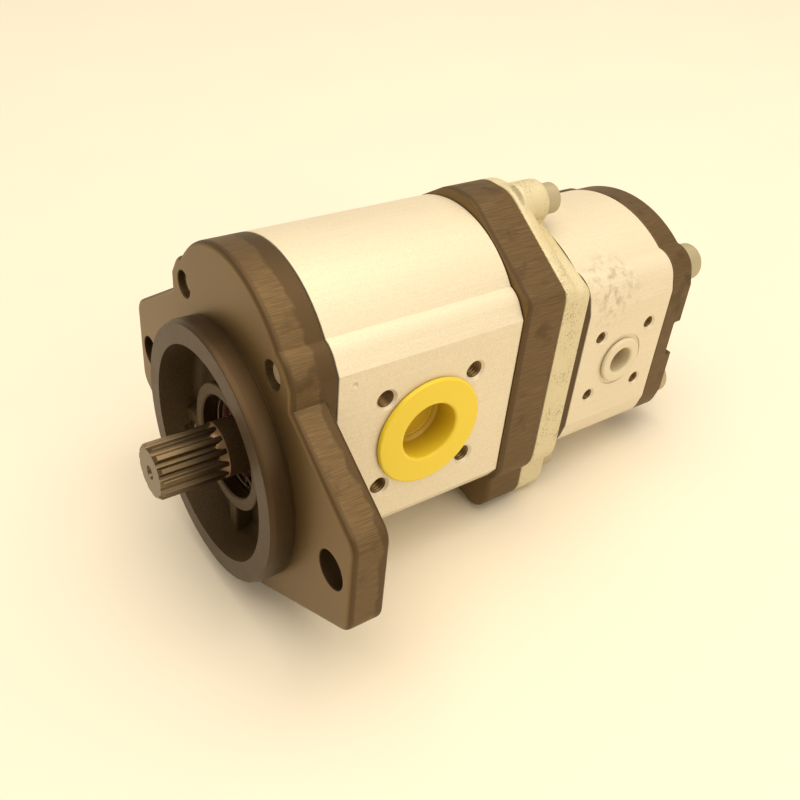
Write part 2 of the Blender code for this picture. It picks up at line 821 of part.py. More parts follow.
def bearing_block(stage, start, letter, outer_side):
    """An aluminium block that carries a bush for each gear, with a seal track on its outer face."""
    end = start + stage.block_length
    name = f"{stage.name}_bearing_block_{letter}"
    block = prism(name, [eight_outline(stage, stage.bore_radius - GAP)], start, end)
    holes = [(0, 0), (0, stage.gear_distance)]
    bush = stage.journal_radius + 2 * GAP + BUSH_WALL
    cut(block, rods(name + "_bores", holes, bush, start - OVERRUN, end + OVERRUN, 20))
    track = block_seal_track(stage, GAP)
    groove = (start - OVERRUN, start + SEAL_HEIGHT)
    if outer_side > 0:
        groove = (end - SEAL_HEIGHT, end + OVERRUN)
    cut(block, prism(name + "_track", track, *groove))
    finish(block, BEARING_ALLOY)
    seal = block_seal_track(stage)
    place = start if outer_side < 0 else end - SEAL_HEIGHT + GAP
    finish(prism(f"{stage.name}_block_seal_{letter}", seal, place, place + SEAL_HEIGHT - GAP), BLACK_RUBBER)


def bush(stage, start, letter, gear):
    """A plain bearing sleeve in a bearing block."""
    inner = stage.journal_radius + GAP
    outer = inner + BUSH_WALL
    length = stage.block_length
    profile = [(inner, length), (outer, length), (outer, 0), (inner, 0)]
    height = 0 if gear == "drive" else stage.gear_distance
    name = f"{stage.name}_bush_{gear}_{letter}"
    finish(turned(name, profile, (0, start, height), 20, closed=True), BRONZE)


def body_seals(stage, start):
    end = start + stage.body_length
    track = body_seal_track(stage)
    thick = SEAL_HEIGHT - GAP
    for letter, place in (("a", start), ("b", end - thick)):
        finish(prism(f"{stage.name}_body_seal_{letter}", track, place, place + thick), BLACK_RUBBER)


def plain_profile(radius, length, chamfer):
    """Profile of a plain chamfered cylinder."""
    return [
        (0, length),
        (radius - chamfer, length),
        (radius, length - chamfer),
        (radius, chamfer),
        (radius - chamfer, 0),
        (0, 0),
    ]


def gear_station(stage, body_start):
    """Where the gear starts: behind the first block."""
    return body_start + GAP + stage.block_length + GAP


def add_gear(shaft, stage, start, height, phase):
    """Joins the toothed wheel to its shaft."""
    outline = [(x, z + height) for x, z in gear_outline(stage, phase)]
    join(shaft, prism(shaft.name + "_wheel", [outline], start, start + stage.gear_width))


def front_drive_shaft():
    """Splined end, seal journal, gear, rear journal and the flats that enter the coupling."""
    radius = FRONT.journal_radius
    tail = COUPLING_MIDDLE - TONGUE_SPACE / 2
    journal_end = FRONT_BODY_END - GAP
    profile = [
        (0, journal_end),
        (radius - SHAFT_CHAMFER, journal_end),
        (radius, journal_end - SHAFT_CHAMFER),
        (radius, SPLINE_RUNOUT + SPLINE_SHOULDER),
        (SPLINE_ROOT_RADIUS, SPLINE_RUNOUT),
        (0, SPLINE_RUNOUT),
    ]
    shaft = turned("front_drive_gear_shaft", profile, (0, 0, 0), 24)
    teeth = prism("spline_teeth", [spline_outline()], SPLINE_END, SPLINE_RUNOUT + LAP)
    boolean(teeth, spline_envelope(), "INTERSECT")
    join(shaft, teeth)
    add_gear(shaft, FRONT, gear_station(FRONT, FRONT_BODY_START), 0, math.pi / 2)
    join(shaft, prism("front_tongue", [tongue_outline()], journal_end - LAP, tail))
    hole = rods(
        "centre_hole", [(0, 0)], CENTRE_HOLE_RADIUS, SPLINE_END - STEP,
        SPLINE_END + CENTRE_HOLE_DEPTH, 12, radius_end=STEP,
    )
    cut(shaft, hole)
    finish(shaft, GROUND_STEEL)


def spline_envelope():
    """Trims the spline teeth to a chamfer at the end of the shaft."""
    tip = SPLINE_TIP_RADIUS + STEP
    profile = [
        (0, SPLINE_RUNOUT + 2 * LAP),
        (tip, SPLINE_RUNOUT + 2 * LAP),
        (tip, SPLINE_END + SPLINE_CHAMFER),
        (tip - SPLINE_CHAMFER, SPLINE_END - STEP / 2),
        (0, SPLINE_END - STEP / 2),
    ]
    return turned("spline_envelope", profile, (0, 0, 0), 2 * SPLINE_TEETH)


def driven_gear(stage, body_start):
    """A gear with a journal on each side, in mesh with the drive gear below it."""
    radius = stage.journal_radius
    start = body_start + 2 * GAP
    end = body_start + stage.body_length - 2 * GAP
    length = end - start
    profile = plain_profile(radius, length, SHAFT_CHAMFER)
    shaft = turned(f"{stage.name}_driven_gear_shaft", profile, (0, start, stage.gear_distance), 24)
    half_tooth = math.pi / stage.teeth
    phase = -math.pi / 2 + half_tooth
    add_gear(shaft, stage, gear_station(stage, body_start), stage.gear_distance, phase)
    finish(shaft, GROUND_STEEL)


def rear_drive_shaft():
    radius = REAR.journal_radius
    start = REAR_PLATE_START
    end = REAR_BODY_END - 2 * GAP
    length = end - start
    profile = plain_profile(radius, length, SHAFT_CHAMFER)
    shaft = turned("rear_drive_gear_shaft", profile, (0, start, 0), 24)
    add_gear(shaft, REAR, gear_station(REAR, REAR_BODY_START), 0, math.pi / 2)
    tail = COUPLING_MIDDLE + TONGUE_SPACE / 2
    join(shaft, prism("rear_tongue", [tongue_outline()], tail, start + LAP))
    finish(shaft, GROUND_STEEL)


def coupling():
    """A sleeve that drives the rear shaft from the front one."""
    profile = plain_profile(COUPLING_RADIUS, COUPLING_LENGTH, 2 * SHAFT_CHAMFER)
    sleeve = turned("shaft_coupling", profile, (0, COUPLING_START, 0), 20)
    bore = prism("coupling_bore", [tongue_outline(GAP)], COUPLING_START - OVERRUN, COUPLING_END + OVERRUN)
    cut(sleeve, bore)
    finish(sleeve, GROUND_STEEL)


def plate_outline(crest_drop=0.0):
    """The intermediate plate: a crest over the driven gear, square shoulders, and the body's arc below."""
    side = FRONT.half_width + PLATE_SIDE_STEP
    shoulder = FRONT.bolt_top + PLATE_CORNER_RISE - crest_drop / 4
    circles = [(0, 0, FRONT.arc_radius)]
    for sign in (1, -1):
        circles.append((sign * CREST_X, CREST_Z - crest_drop, CREST_RADIUS))
        circles.append((sign * (side - PLATE_CORNER), shoulder, PLATE_CORNER))
        circles.append((sign * (side - PLATE_BOSS_RADIUS), FRONT.bolt_bottom, PLATE_BOSS_RADIUS))
    return taut_outline(circles, 40)


def foot_outline(sign):
    """A lobe that reaches down to carry an adapter bolt."""
    upper = (sign * FOOT_X, FRONT.bolt_bottom, FOOT_RADIUS)
    inner = (sign * (FOOT_X - FOOT_RADIUS * 2), FOOT_Z + FOOT_INNER_RISE, FOOT_RADIUS)
    return taut_outline([upper, inner, (sign * FOOT_X, FOOT_Z, FOOT_RADIUS)], 24)


def adapter_bolts():
    """Axes of the bolts that hold the adapter: one at the crest, one in each foot."""
    rise = FOOT_Z + FOOT_BOLT_RISE
    return [(EAR_BOLT_X, CREST_Z + EAR_BOLT_RISE), (FOOT_X, rise), (-FOOT_X, rise)]


def intermediate_plate():
    plate = prism("intermediate_plate", [plate_outline()], PLATE_START, PLATE_END)
    for sign, name in ((1, "right_foot"), (-1, "left_foot")):
        join(plate, prism(name, [foot_outline(sign)], PLATE_START + STEP, PLATE_END - STEP))
    bore = COUPLING_RADIUS + 2 * GAP
    cut(plate, rods("plate_bore", [(0, 0)], bore, PLATE_START - OVERRUN, PLATE_END + OVERRUN, 20))
    front, back = PLATE_START - OVERRUN, PLATE_END + OVERRUN
    cut(plate, rods("plate_bolt_holes", FRONT.bolts(), LARGE_BOLT.hole, front, back))
    seat = PLATE_END - LARGE_BOLT.head_height - GAP
    pockets = rods(
        "head_pockets", FRONT.bolts(), LARGE_BOLT.head_radius + GAP, seat - GAP, PLATE_END + OVERRUN, 16
    )
    cut(plate, pockets)
    floor = PLATE_END - THREAD_LENGTH - GAP
    cut(plate, rods("adapter_threads", adapter_bolts(), SMALL_BOLT.hole, floor, PLATE_END + OVERRUN))
    finish(plate, CAST_BLACK)


def adapter_flange():
    """Light cast flange: the plate's outline in front, drawn in towards the rear stage, with bolt ears."""
    rim = ADAPTER_START + ADAPTER_RIM
    adapter = prism("adapter_flange", [plate_outline()], ADAPTER_START, rim)
    join(adapter, prism("adapter_rear", [plate_outline(ADAPTER_SHOULDER_DROP)], rim - LAP, ADAPTER_END))
    for sign, name in ((1, "adapter_right_foot"), (-1, "adapter_left_foot")):
        join(adapter, prism(name, [foot_outline(sign)], ADAPTER_START + STEP, ADAPTER_END - STEP))
    ear = rods("adapter_ear", adapter_bolts()[:1], EAR_RADIUS, rim - 2 * LAP, ADAPTER_END + EAR_PROUD, 24)
    join(adapter, ear)
    bore = COUPLING_RADIUS + 2 * GAP
    cut(adapter, rods("adapter_bore", [(0, 0)], bore, ADAPTER_START - OVERRUN, ADAPTER_END + OVERRUN, 20))
    front, back = ADAPTER_START - OVERRUN, ADAPTER_END + OVERRUN
    holes = rods("adapter_holes", adapter_bolts(), SMALL_BOLT.hole, front, back)
    cut(adapter, holes)
    depth = ADAPTER_END - THREAD_LENGTH - GAP
    cut(adapter, rods("adapter_tapped", REAR.bolts(), LARGE_BOLT.hole, depth, ADAPTER_END + OVERRUN))
    finish(adapter, CAST_ALUMINIUM)


def cap_screw(name, bolt, axis, tip, seat):
    """A socket-head screw along Y, from its tip to its head's seat and beyond."""
    top = bolt.head_height
    profile = [
        (0, top),
        (bolt.head_radius - HEAD_CHAMFER, top),
        (bolt.head_radius, top - HEAD_CHAMFER),
        (bolt.head_radius, 0),
        (bolt.radius, 0),
        (bolt.radius, tip - seat + TIP_CHAMFER),
        (bolt.radius - TIP_CHAMFER, tip - seat),
        (0, tip - seat),
    ]
    x, z = axis
    screw = turned(name, profile, (x, seat, z), 12)
    floor = seat + top - top * SOCKET_SHARE
    socket = rods(name + "_socket", [axis], bolt.socket_radius, floor, seat + top + OVERRUN, 6)
    cut(screw, socket)
    finish(screw, PLATED_STEEL)


def front_bolts():
    """They enter from the rear plate, and their ends show in the flange."""
    seat = PLATE_END - LARGE_BOLT.head_height - GAP
    for i, axis in enumerate(FRONT.bolts(), 1):
        cap_screw(f"front_stage_bolt_{i}", LARGE_BOLT, axis, BOLT_TIP_SETBACK, seat)


def rear_bolts():
    tip = ADAPTER_END - THREAD_LENGTH
    for i, axis in enumerate(REAR.bolts(), 1):
        cap_screw(f"rear_stage_bolt_{i}", LARGE_BOLT, axis, tip, REAR_COVER_END + GAP)


def adapter_screws():
    tip = PLATE_END - THREAD_LENGTH
    for i, axis in enumerate(adapter_bolts(), 1):
        seat = ADAPTER_END + EAR_PROUD if i == 1 else ADAPTER_END
        cap_screw(f"adapter_bolt_{i}", SMALL_BOLT, axis, tip, seat)


def rear_front_plate():
    """The rear stage's own front plate, which shows as a thin dark band."""
    start, end = REAR_PLATE_START, REAR_PLATE_END
    plate = prism("rear_stage_front_plate", [section_outline(REAR)], start, end)
    hole = REAR.journal_radius + GAP
    cut(plate, rods("front_plate_bore", [(0, 0)], hole, start - OVERRUN, end + OVERRUN, 20))
    cut(plate, rods("front_plate_holes", REAR.bolts(), LARGE_BOLT.hole, start - OVERRUN, end + OVERRUN))
    finish(plate, CAST_BLACK)


def rear_cover():
    start, end = REAR_COVER_START, REAR_COVER_END
    cover = prism("rear_cover", [section_outline(REAR)], start, end)
    reach = REAR.half_width + OVERRUN
    low = REAR.middle + CHANNEL_RISE - CHANNEL_WIDTH / 2
    channel = box(
        "cover_channel", (-reach, end - CHANNEL_DEPTH, low), (reach, end + OVERRUN, low + CHANNEL_WIDTH)
    )
    cut(cover, channel)
    cut(cover, rods("rear_cover_holes", REAR.bolts(), LARGE_BOLT.hole, start - OVERRUN, end + OVERRUN))
    finish(cover, CAST_BLACK)


def stage_internals(stage, body_start):
    """Blocks, bushes and seals: set a is nearer the shaft end."""
    first = body_start + GAP
    second = body_start + stage.body_length - GAP - stage.block_length
    for letter, start, outer_side in (("a", first, -1), ("b", second, 1)):
        bearing_block(stage, start, letter, outer_side)
        bush(stage, start, letter, "drive")
        bush(stage, start, letter, "driven")
    body_seals(stage, body_start)


def build():
    front_cover()
    shaft_seal()
    seal_retaining_ring()
    stages = ((FRONT, FRONT_BODY_START), (REAR, REAR_BODY_START))
    for stage, start in stages:
        stage_body(stage, start)
        stage_internals(stage, start)
        driven_gear(stage, start)
        for side in (1, -1):
            port_cap(stage, start + stage.body_length / 2, side)
    front_drive_shaft()
    rear_drive_shaft()
    coupling()
    intermediate_plate()
    adapter_flange()
    front_bolts()
    adapter_screws()
    rear_front_plate()
    rear_cover()
    rear_bolts()


build()
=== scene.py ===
"""Visible pieces and finishes of a tandem hydraulic gear pump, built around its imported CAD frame.

Pieces are modelled in the pump's own axes: the origin is where the shaft axis crosses the mounting
face, +X points out of the inlet ports, +Y away from the splined end, +Z from the drive gears to the
driven gears. Every finished mesh is then moved to the frame's place. Lengths are in metres.
"""

import json
import math
from collections import namedtuple

import bmesh
import bpy
from bpy.props import FloatProperty, FloatVectorProperty, PointerProperty
from bpy.types import Operator, Panel, PropertyGroup
from mathutils import Matrix, Vector


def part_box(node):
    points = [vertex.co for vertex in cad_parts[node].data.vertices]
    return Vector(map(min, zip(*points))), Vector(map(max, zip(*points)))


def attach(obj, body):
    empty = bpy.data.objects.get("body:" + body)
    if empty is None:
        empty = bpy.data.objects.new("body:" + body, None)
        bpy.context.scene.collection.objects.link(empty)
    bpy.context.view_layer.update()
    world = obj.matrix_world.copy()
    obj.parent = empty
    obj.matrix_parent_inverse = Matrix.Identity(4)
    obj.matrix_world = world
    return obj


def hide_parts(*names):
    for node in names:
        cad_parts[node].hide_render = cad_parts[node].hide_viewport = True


bl_info = {
    "name": "Tandem Gear Pump",
    "version": (1, 0, 0),
    "blender": (4, 5, 0),
    "location": "View3D > Sidebar > Gear Pump",
    "description": "Builds a two-stage hydraulic gear pump with its finishes and a plain studio",
    "category": "Add Mesh",
}

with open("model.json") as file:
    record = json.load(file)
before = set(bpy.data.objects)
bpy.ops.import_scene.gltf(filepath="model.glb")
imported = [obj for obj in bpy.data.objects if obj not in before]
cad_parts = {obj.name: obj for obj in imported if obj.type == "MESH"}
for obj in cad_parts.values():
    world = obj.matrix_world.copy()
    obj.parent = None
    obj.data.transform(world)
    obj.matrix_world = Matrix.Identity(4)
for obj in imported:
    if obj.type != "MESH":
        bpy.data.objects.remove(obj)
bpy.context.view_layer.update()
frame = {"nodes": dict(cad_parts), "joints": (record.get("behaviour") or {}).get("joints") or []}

# ------------------------------------------------------- places read from the frame

JOINTS = {joint["name"]: Vector(joint["pos_m"]) for joint in frame["joints"] if "pos_m" in joint}
PILOT_HEIGHT = 0.0095  # the spigot stands this far in front of the mounting face
ORIGIN = Vector((0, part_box("front_cover")[0].y + PILOT_HEIGHT, JOINTS["drive_shaft_spin"].z))


def span(node):
    """Lowest and highest corner of a CAD node, in the pump's own axes."""
    low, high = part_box(node)
    return low - ORIGIN, high - ORIGIN


def middle(node):
    low, high = span(node)
    return (low + high) / 2


GAP = 0.0003  # between neighbouring pieces
THIN = 0.00005  # step between faces of one casting that are meant to look flush
OVERRUN = 0.01  # how far a cutter passes a face


class StagePlan:
    """What the frame says of one gear stage."""

    def __init__(self, name, arc_inset, boss_radius, crease_rise):
        self.name = name
        low, high = span(name + "_body")
        self.start, self.end = low.y, high.y
        self.gear_distance = (JOINTS[name + "_driven_spin"] - JOINTS["drive_shaft_spin"]).z
        self.half_width = high.x
        self.arc_middle = self.gear_distance - arc_inset
        self.arc_radius = high.z - self.arc_middle
        self.bolts = [middle(f"{name}_stage_bolt_{i}").xz for i in range(1, 5)]
        self.boss_radius = boss_radius
        self.crease_rise = crease_rise
        self.port_y = (self.start + self.end) / 2
        self.port_z = self.gear_distance / 2


FRONT = StagePlan("front", arc_inset=0.0, boss_radius=0.0102, crease_rise=0.0004)
REAR = StagePlan("rear", arc_inset=0.0152, boss_radius=0.0113, crease_rise=-0.0030)
ADAPTER_END = span("rear_stage_front_plate")[0].y - GAP
FRONT_JOURNAL = 0.0110
REAR_JOURNAL = 0.0090

# Clearance holes, by radius
STAGE_BOLT_HOLE = 0.0052
ADAPTER_BOLT_HOLE = 0.0042
HEAD_POCKET = 0.0083
COUPLING_PASSAGE = 0.0131

# Radii of shank, head and socket, height of the head, pitch of the thread
Screw = namedtuple("Screw", "shank head height key pitch")
STAGE_SCREW = Screw(0.0049, 0.0080, 0.0100, 0.0046, 0.0015)
ADAPTER_SCREW = Screw(0.0039, 0.0062, 0.0080, 0.0035, 0.00125)


# -------------------------------------------------------------------- sizes and colours


def linear(code):
    """Linear (r, g, b) of an sRGB hex colour such as "#c0a060"."""
    parts = [int(code[i : i + 2], 16) / 255 for i in (1, 3, 5)]
    return tuple(p / 12.92 if p <= 0.04045 else ((p + 0.055) / 1.055) ** 2.4 for p in parts)


def length(name, text, default):
    return FloatProperty(name=name, description=text, default=default, unit="LENGTH", precision=5)


def tint(name, text, code):
    return FloatVectorProperty(name=name, description=text, subtype="COLOR", size=3, default=linear(code))


DAYLIGHT = linear("#fff1db")


class CoverSizes(PropertyGroup):
    """Front cover casting."""

    pilot_radius: length("Pilot radius", "Radius of the locating spigot", 0.0508)
    pilot_lead: length("Pilot lead", "Length of the lead-in chamfer", 0.0024)
    relief: length("Relief", "Depth of the groove at the foot of the spigot", 0.0004)
    hollow_radius: length("Hollow radius", "Radius of the hollow in the spigot", 0.0420)
    hollow_floor: length("Hollow floor", "Depth of the hollow behind the mounting face", 0.0080)
    hub_radius: length("Hub radius", "Radius of the hub around the seal", 0.0252)
    seal_bore: length("Seal bore", "Radius of the seal's bore", 0.0203)
    boss_radius: length("Boss radius", "Radius of the lower bolt bosses in the hollow", 0.0105)
    hole_spacing: length("Hole spacing", "Distance between the mounting holes", 0.1460)
    hole_radius: length("Hole radius", "Radius of a mounting hole", 0.00715)
    edge_round: length("Edge round", "Radius of the cast outer edge", 0.0021)
    ear_height: length("Ear height", "Half the height of an ear's end", 0.0228)
    ear_corner: length("Ear corner", "Radius of the corners of an ear's end", 0.0080)
    ear_setback: length("Ear setback", "How much thinner the ears are than the cover", 0.0036)
    web_radius: length("Web radius", "Radius of the cover's lower edge", 0.0600)


class ShaftSizes(PropertyGroup):
    """Splined shaft end."""

    journal_radius: length("Journal radius", "Radius of the drive shaft behind its spline", 0.0110)
    tip_radius: length("Spline tip", "Radius over the spline's teeth", 0.0108)
    root_radius: length("Spline root", "Radius at the foot of the spline's teeth", 0.0093)
    run_out: length("Run-out", "Length over which the spline's roots rise to the journal", 0.0045)
    chamfer: length("Chamfer", "Chamfer on the shaft's end", 0.0014)


class PortSizes(PropertyGroup):
    """Ports, their tapped holes and caps."""

    front_circle: length("Front bolt circle", "Bolt circle of the front ports", 0.0550)
    rear_circle: length("Rear bolt circle", "Bolt circle of the rear ports", 0.0400)
    front_thread: length("Front thread", "Radius of the front ports' tapped holes", 0.0040)
    rear_thread: length("Rear thread", "Radius of the rear ports' tapped holes", 0.0030)
    front_pitch: length("Front pitch", "Thread pitch of the front ports' holes", 0.00125)
    rear_pitch: length("Rear pitch", "Thread pitch of the rear ports' holes", 0.0010)
    front_bore: length("Front passage", "Radius of the front ports' passages", 0.0135)
    rear_bore: length("Rear passage", "Radius of the rear ports' passages", 0.0073)
    pad_radius: length("Pad radius", "Radius of the spot face on the rear ports", 0.0122)


class Finishes(PropertyGroup):
    """Colours of the materials."""

    iron: tint("Iron", "Black coating over cast iron", "#7c6540")
    iron_edge: tint("Iron edge", "Coating on cast edges", "#56442b")
    iron_worn: tint("Worn iron", "Coating where the tool marks catch the light", "#786243")
    iron_turned: tint("Turned iron", "Coating on the spigot and in the bores", "#4c3a22")
    iron_dark: tint("Dark iron", "Coating in the unmachined hollow", "#5c4828")
    extrusion: tint("Extruded aluminium", "Etched skin of the stage bodies", "#e4dac2")
    # Painted shade: a dark brown that stands for the shade inside the tapped holes
    thread_shade: tint("Thread shade", "Painted shade in the tapped holes", "#8e7048")
    casting: tint("Cast aluminium", "Skin of the adapter casting", "#d2c8a6")
    pits: tint("Casting pits", "Dirt in the pits of the adapter casting", "#94896a")
    steel: tint("Ground steel", "Hardened steel of the shafts", "#786850")
    journal: tint("Journal", "Brown oil film on the shaft behind its spline", "#7a6146")
    zinc: tint("Zinc", "Plating of the screws", "#bbb193")
    bearing: tint("Bearing aluminium", "Machined bearing blocks", "#b5aea0")
    bronze: tint("Bronze", "Plain bearing bushes", "#a5793f")
    lip: tint("Seal lip", "Rubber of the shaft seal", "#5e2a1c")
    rubber: tint("Rubber", "Seals between the pieces", "#1d1c1a")
    yellow: tint("Yellow", "Large port caps", "#e9cf34")
    grey: tint("Grey", "Small port caps", "#dbd1b4")
    floor: tint("Floor", "Studio floor", "#ece5d6")


# ---------------------------------------------------------------------------- outlines


def arc(centre, radius, start, end, steps):
    """Points on an arc, angles in radians, ends included."""
    turn = (end - start) / steps
    angles = [start + turn * i for i in range(steps + 1)]
    return [(centre[0] + radius * math.cos(a), centre[1] + radius * math.sin(a)) for a in angles]


def circle(centre, radius, steps=96):
    return arc(centre, radius, 0, 2 * math.pi * (steps - 1) / steps, steps - 1)


def band(circles, steps=96):
    """Outline of a band pulled tight around circles, each (x, z, radius)."""
    points = []
    for x, z, radius in circles:
        points += circle((x, z), radius, steps)
    points = sorted(set((round(x, 7), round(z, 7)) for x, z in points))

    def chain(ordered):
        kept = []
        for p in ordered:
            while len(kept) > 1 and bend(kept[-2], kept[-1], p) <= 1e-12:
                kept.pop()
            kept.append(p)
        return kept[:-1]

    return chain(points) + chain(points[::-1])


def bend(a, b, c):
    return (b[0] - a[0]) * (c[1] - a[1]) - (b[1] - a[1]) * (c[0] - a[0])


def crossing(centre, radius, other, other_radius):
    """The crossing of two circles to the left of the way from the first to the second."""
    way = Vector(other) - Vector(centre)
    along = (radius**2 - other_radius**2 + way.length_squared) / (2 * way.length)
    aside = math.sqrt(radius**2 - along**2)
    unit = way.normalized()
    return Vector(centre) + along * unit + aside * Vector((-unit.y, unit.x))


def bearing_of(centre, point):
    return math.atan2(point[1] - centre[1], point[0] - centre[0])


def section(stage):
    """Cross-section of a stage: arcs over the gears, a boss at each bolt, and flat port faces."""
    top = (0.0, stage.arc_middle)
    bolt = stage.bolts[0]
    crease = (stage.half_width, bolt[1] + stage.crease_rise)
    meet = crossing(top, stage.arc_radius, bolt, stage.boss_radius)
    reach = math.dist(bolt, crease)
    tangent = bearing_of(bolt, crease) + math.acos(min(1.0, stage.boss_radius / reach))
    upper = arc(top, stage.arc_radius, math.pi / 2, bearing_of(top, meet), 40)
    upper += arc(bolt, stage.boss_radius, bearing_of(bolt, meet), tangent, 24)[1:]
    upper.append(crease)
    lower = [(x, stage.gear_distance - z) for x, z in reversed(upper)]
    right = upper + lower
    return right + [(-x, z) for x, z in reversed(right)][1:-1]


def eight(stage, radius, steps=72):
    """Two equal circles around the gear axes, joined where they cross."""
    half = math.asin(stage.gear_distance / 2 / radius)
    upper = arc((0.0, stage.gear_distance), radius, -half, math.pi + half, steps)
    lower = [(-x, stage.gear_distance - z) for x, z in upper]
    return upper + lower[1:-1]


def polar(radius, angle):
    return (radius * math.cos(angle), radius * math.sin(angle))


def gear_outline(stage, phase, teeth=12):
    """Involute teeth with a little backlash. phase is the direction of one tooth."""
    pressure = math.radians(25)
    pitch = stage.gear_distance / 2
    module = stage.gear_distance / teeth
    base = pitch * math.cos(pressure)
    root = pitch - 1.25 * module
    half = math.pi / (2 * teeth) - GAP / (2 * pitch)
    tip = pitch + module
    points = []
    for i in range(teeth):
        centre = phase + 2 * math.pi * i / teeth
        flank = [(root, half + math.tan(pressure) - pressure)]
        for step in range(9):
            radius = base + (tip - base) * step / 8
            angle = math.acos(base / radius)
            flank.append((radius, half + math.tan(pressure) - pressure - math.tan(angle) + angle))
        points += [polar(r, centre - a) for r, a in flank]
        points += [polar(r, centre + a) for r, a in reversed(flank)]
    return points


def spline_outline(tip, root, teeth=13):
    """Short spline teeth with crowned flanks and round roots."""
    pitch = 2 * math.pi / teeth
    shape = ((-0.40, 0.0), (-0.33, 0.12), (-0.26, 0.45), (-0.21, 0.80), (-0.17, 0.97), (-0.12, 1.0))
    profile = list(shape) + [(-share, rise) for share, rise in reversed(shape)]
    points = []
    for i in range(teeth):
        centre = math.pi / 2 + pitch * i
        points += [polar(root + (tip - root) * rise, centre + share * pitch) for share, rise in profile]
    return points


# ------------------------------------------------------------------------------ shapes


def rounded(shape, edges, width, segments):
    bmesh.ops.bevel(
        shape, geom=edges, offset=width, segments=segments, profile=0.5, affect="EDGES", material=-1
    )
    return shape


def slab(outline, start, end, front=0.0, back=0.0, segments=4):
    """An outline in XZ, extruded along Y from start to end, with its two rims rounded."""
    shape = bmesh.new()
    face = shape.faces.new([shape.verts.new((x, start, z)) for x, z in outline])
    extruded = bmesh.ops.extrude_face_region(shape, geom=[face])["geom"]
    moved = [item for item in extruded if isinstance(item, bmesh.types.BMVert)]
    bmesh.ops.translate(shape, verts=moved, vec=(0, end - start, 0))
    bmesh.ops.recalc_face_normals(shape, faces=shape.faces)
    for width, station in ((front, start), (back, end)):
        if width:
            rim = [e for e in shape.edges if all(abs(v.co.y - station) < 1e-7 for v in e.verts)]
            rounded(shape, rim, width, segments)
    return shape


def turned(profile, steps=96, closed=False):
    """A profile of (radius, y) points, spun around the Y axis."""
    shape = bmesh.new()
    verts = [shape.verts.new((radius, y, 0)) for radius, y in profile]
    edges = [shape.edges.new(pair) for pair in zip(verts, verts[1:])]
    if closed:
        edges.append(shape.edges.new((verts[-1], verts[0])))
    bmesh.ops.spin(
        shape,
        geom=verts + edges,
        cent=(0, 0, 0),
        axis=(0, 1, 0),
        angle=2 * math.pi,
        steps=steps,
        use_merge=True,
    )
    bmesh.ops.remove_doubles(shape, verts=shape.verts, dist=1e-6)
    bmesh.ops.recalc_face_normals(shape, faces=shape.faces)
    return shape


def moved(shape, x=0.0, y=0.0, z=0.0):
    bmesh.ops.translate(shape, verts=shape.verts, vec=(x, y, z))
    return shape


def sideways(shape, side):
    """Turns a shape made along Y so that it points along +X or -X."""
    turn = Matrix.Rotation(-side * math.pi / 2, 3, "Z")
    bmesh.ops.rotate(shape, verts=shape.verts, matrix=turn, cent=(0, 0, 0))
    return shape


def block(low, high):
    shape = bmesh.new()
    size = Vector(high) - Vector(low)
    place = Matrix.Translation((Vector(high) + Vector(low)) / 2) @ Matrix.Diagonal((*size, 1))
    bmesh.ops.create_cube(shape, size=1, matrix=place)
    return shape


def piece_of(name, *shapes):
    """One object from one or more shapes."""
    mesh = bpy.data.meshes.new(name)
    whole = bmesh.new()
    for shape in shapes:
        shape.to_mesh(mesh)
        shape.free()
        whole.from_mesh(mesh)
    whole.to_mesh(mesh)
    whole.free()
    obj = bpy.data.objects.new(name, mesh)
    bpy.context.scene.collection.objects.link(obj)
    return obj


def shape_of(obj):
    """Takes an object's mesh back as a shape, and removes the object."""
    shape = bmesh.new()
    shape.from_mesh(obj.data)
    bpy.data.objects.remove(obj)
    return shape


def apply_all(obj):
    """Replaces an object's mesh by its evaluated one."""
    bpy.context.view_layer.update()
    graph = bpy.context.evaluated_depsgraph_get()
    mesh = bpy.data.meshes.new_from_object(obj.evaluated_get(graph))
    old = obj.data
    obj.modifiers.clear()
    obj.data = mesh
    bpy.data.meshes.remove(old)


def combine(obj, operation, *shapes, material=None):
    """Adds shapes to an object, cuts them from it, or keeps what they share.

    The faces that the shapes leave behind get the material, if one is given.
    """
    if material and material.name not in obj.data.materials:
        obj.data.materials.append(material)
    for shape in shapes:
        helper = piece_of("helper", shape)
        if material:
            index = obj.data.materials.find(material.name)
            helper.data.polygons.foreach_set("material_index", [index] * len(helper.data.polygons))
        modifier = obj.modifiers.new("combine", "BOOLEAN")
        modifier.operation = operation
        modifier.solver = "EXACT"
        modifier.object = helper
        apply_all(obj)
        bpy.data.objects.remove(helper)


def cut(obj, *shapes, material=None):
    combine(obj, "DIFFERENCE", *shapes, material=material)


def join(obj, *shapes, material=None):
    combine(obj, "UNION", *shapes, material=material)


def hole(x, z, radius, start, end, lead=0.0, steps=48):
    """A round cutter along Y, which opens into a chamfer at its start."""
    profile = [(0, start - 0.002), (radius + lead, start - 0.002), (radius + lead, start)]
    profile += [(radius, start + lead), (radius, end), (0, end)]
    return moved(turned(profile, steps), x=x, z=z)


def drill(obj, places, radius, start, end):
    """Cuts the same hole at each (x, z)."""
    for x, z in places:
        cut(obj, hole(x, z, radius, start, end))


def tapped(radius, pitch, depth, mouth):
    """A tapped hole's cutter along Y, mouth first at y = 0: a chamfer, then ridges one pitch apart."""
    height = pitch * 0.6
    points = [(0, -0.002), (mouth, -0.002), (mouth, 0.0), (radius, mouth - radius)]
    y = mouth - radius
    while y < depth:
        points += [(radius - height, y + pitch * 0.5), (radius, y + pitch)]
        y += pitch
    return turned(points + [(0, y + radius * 0.5)], 40)


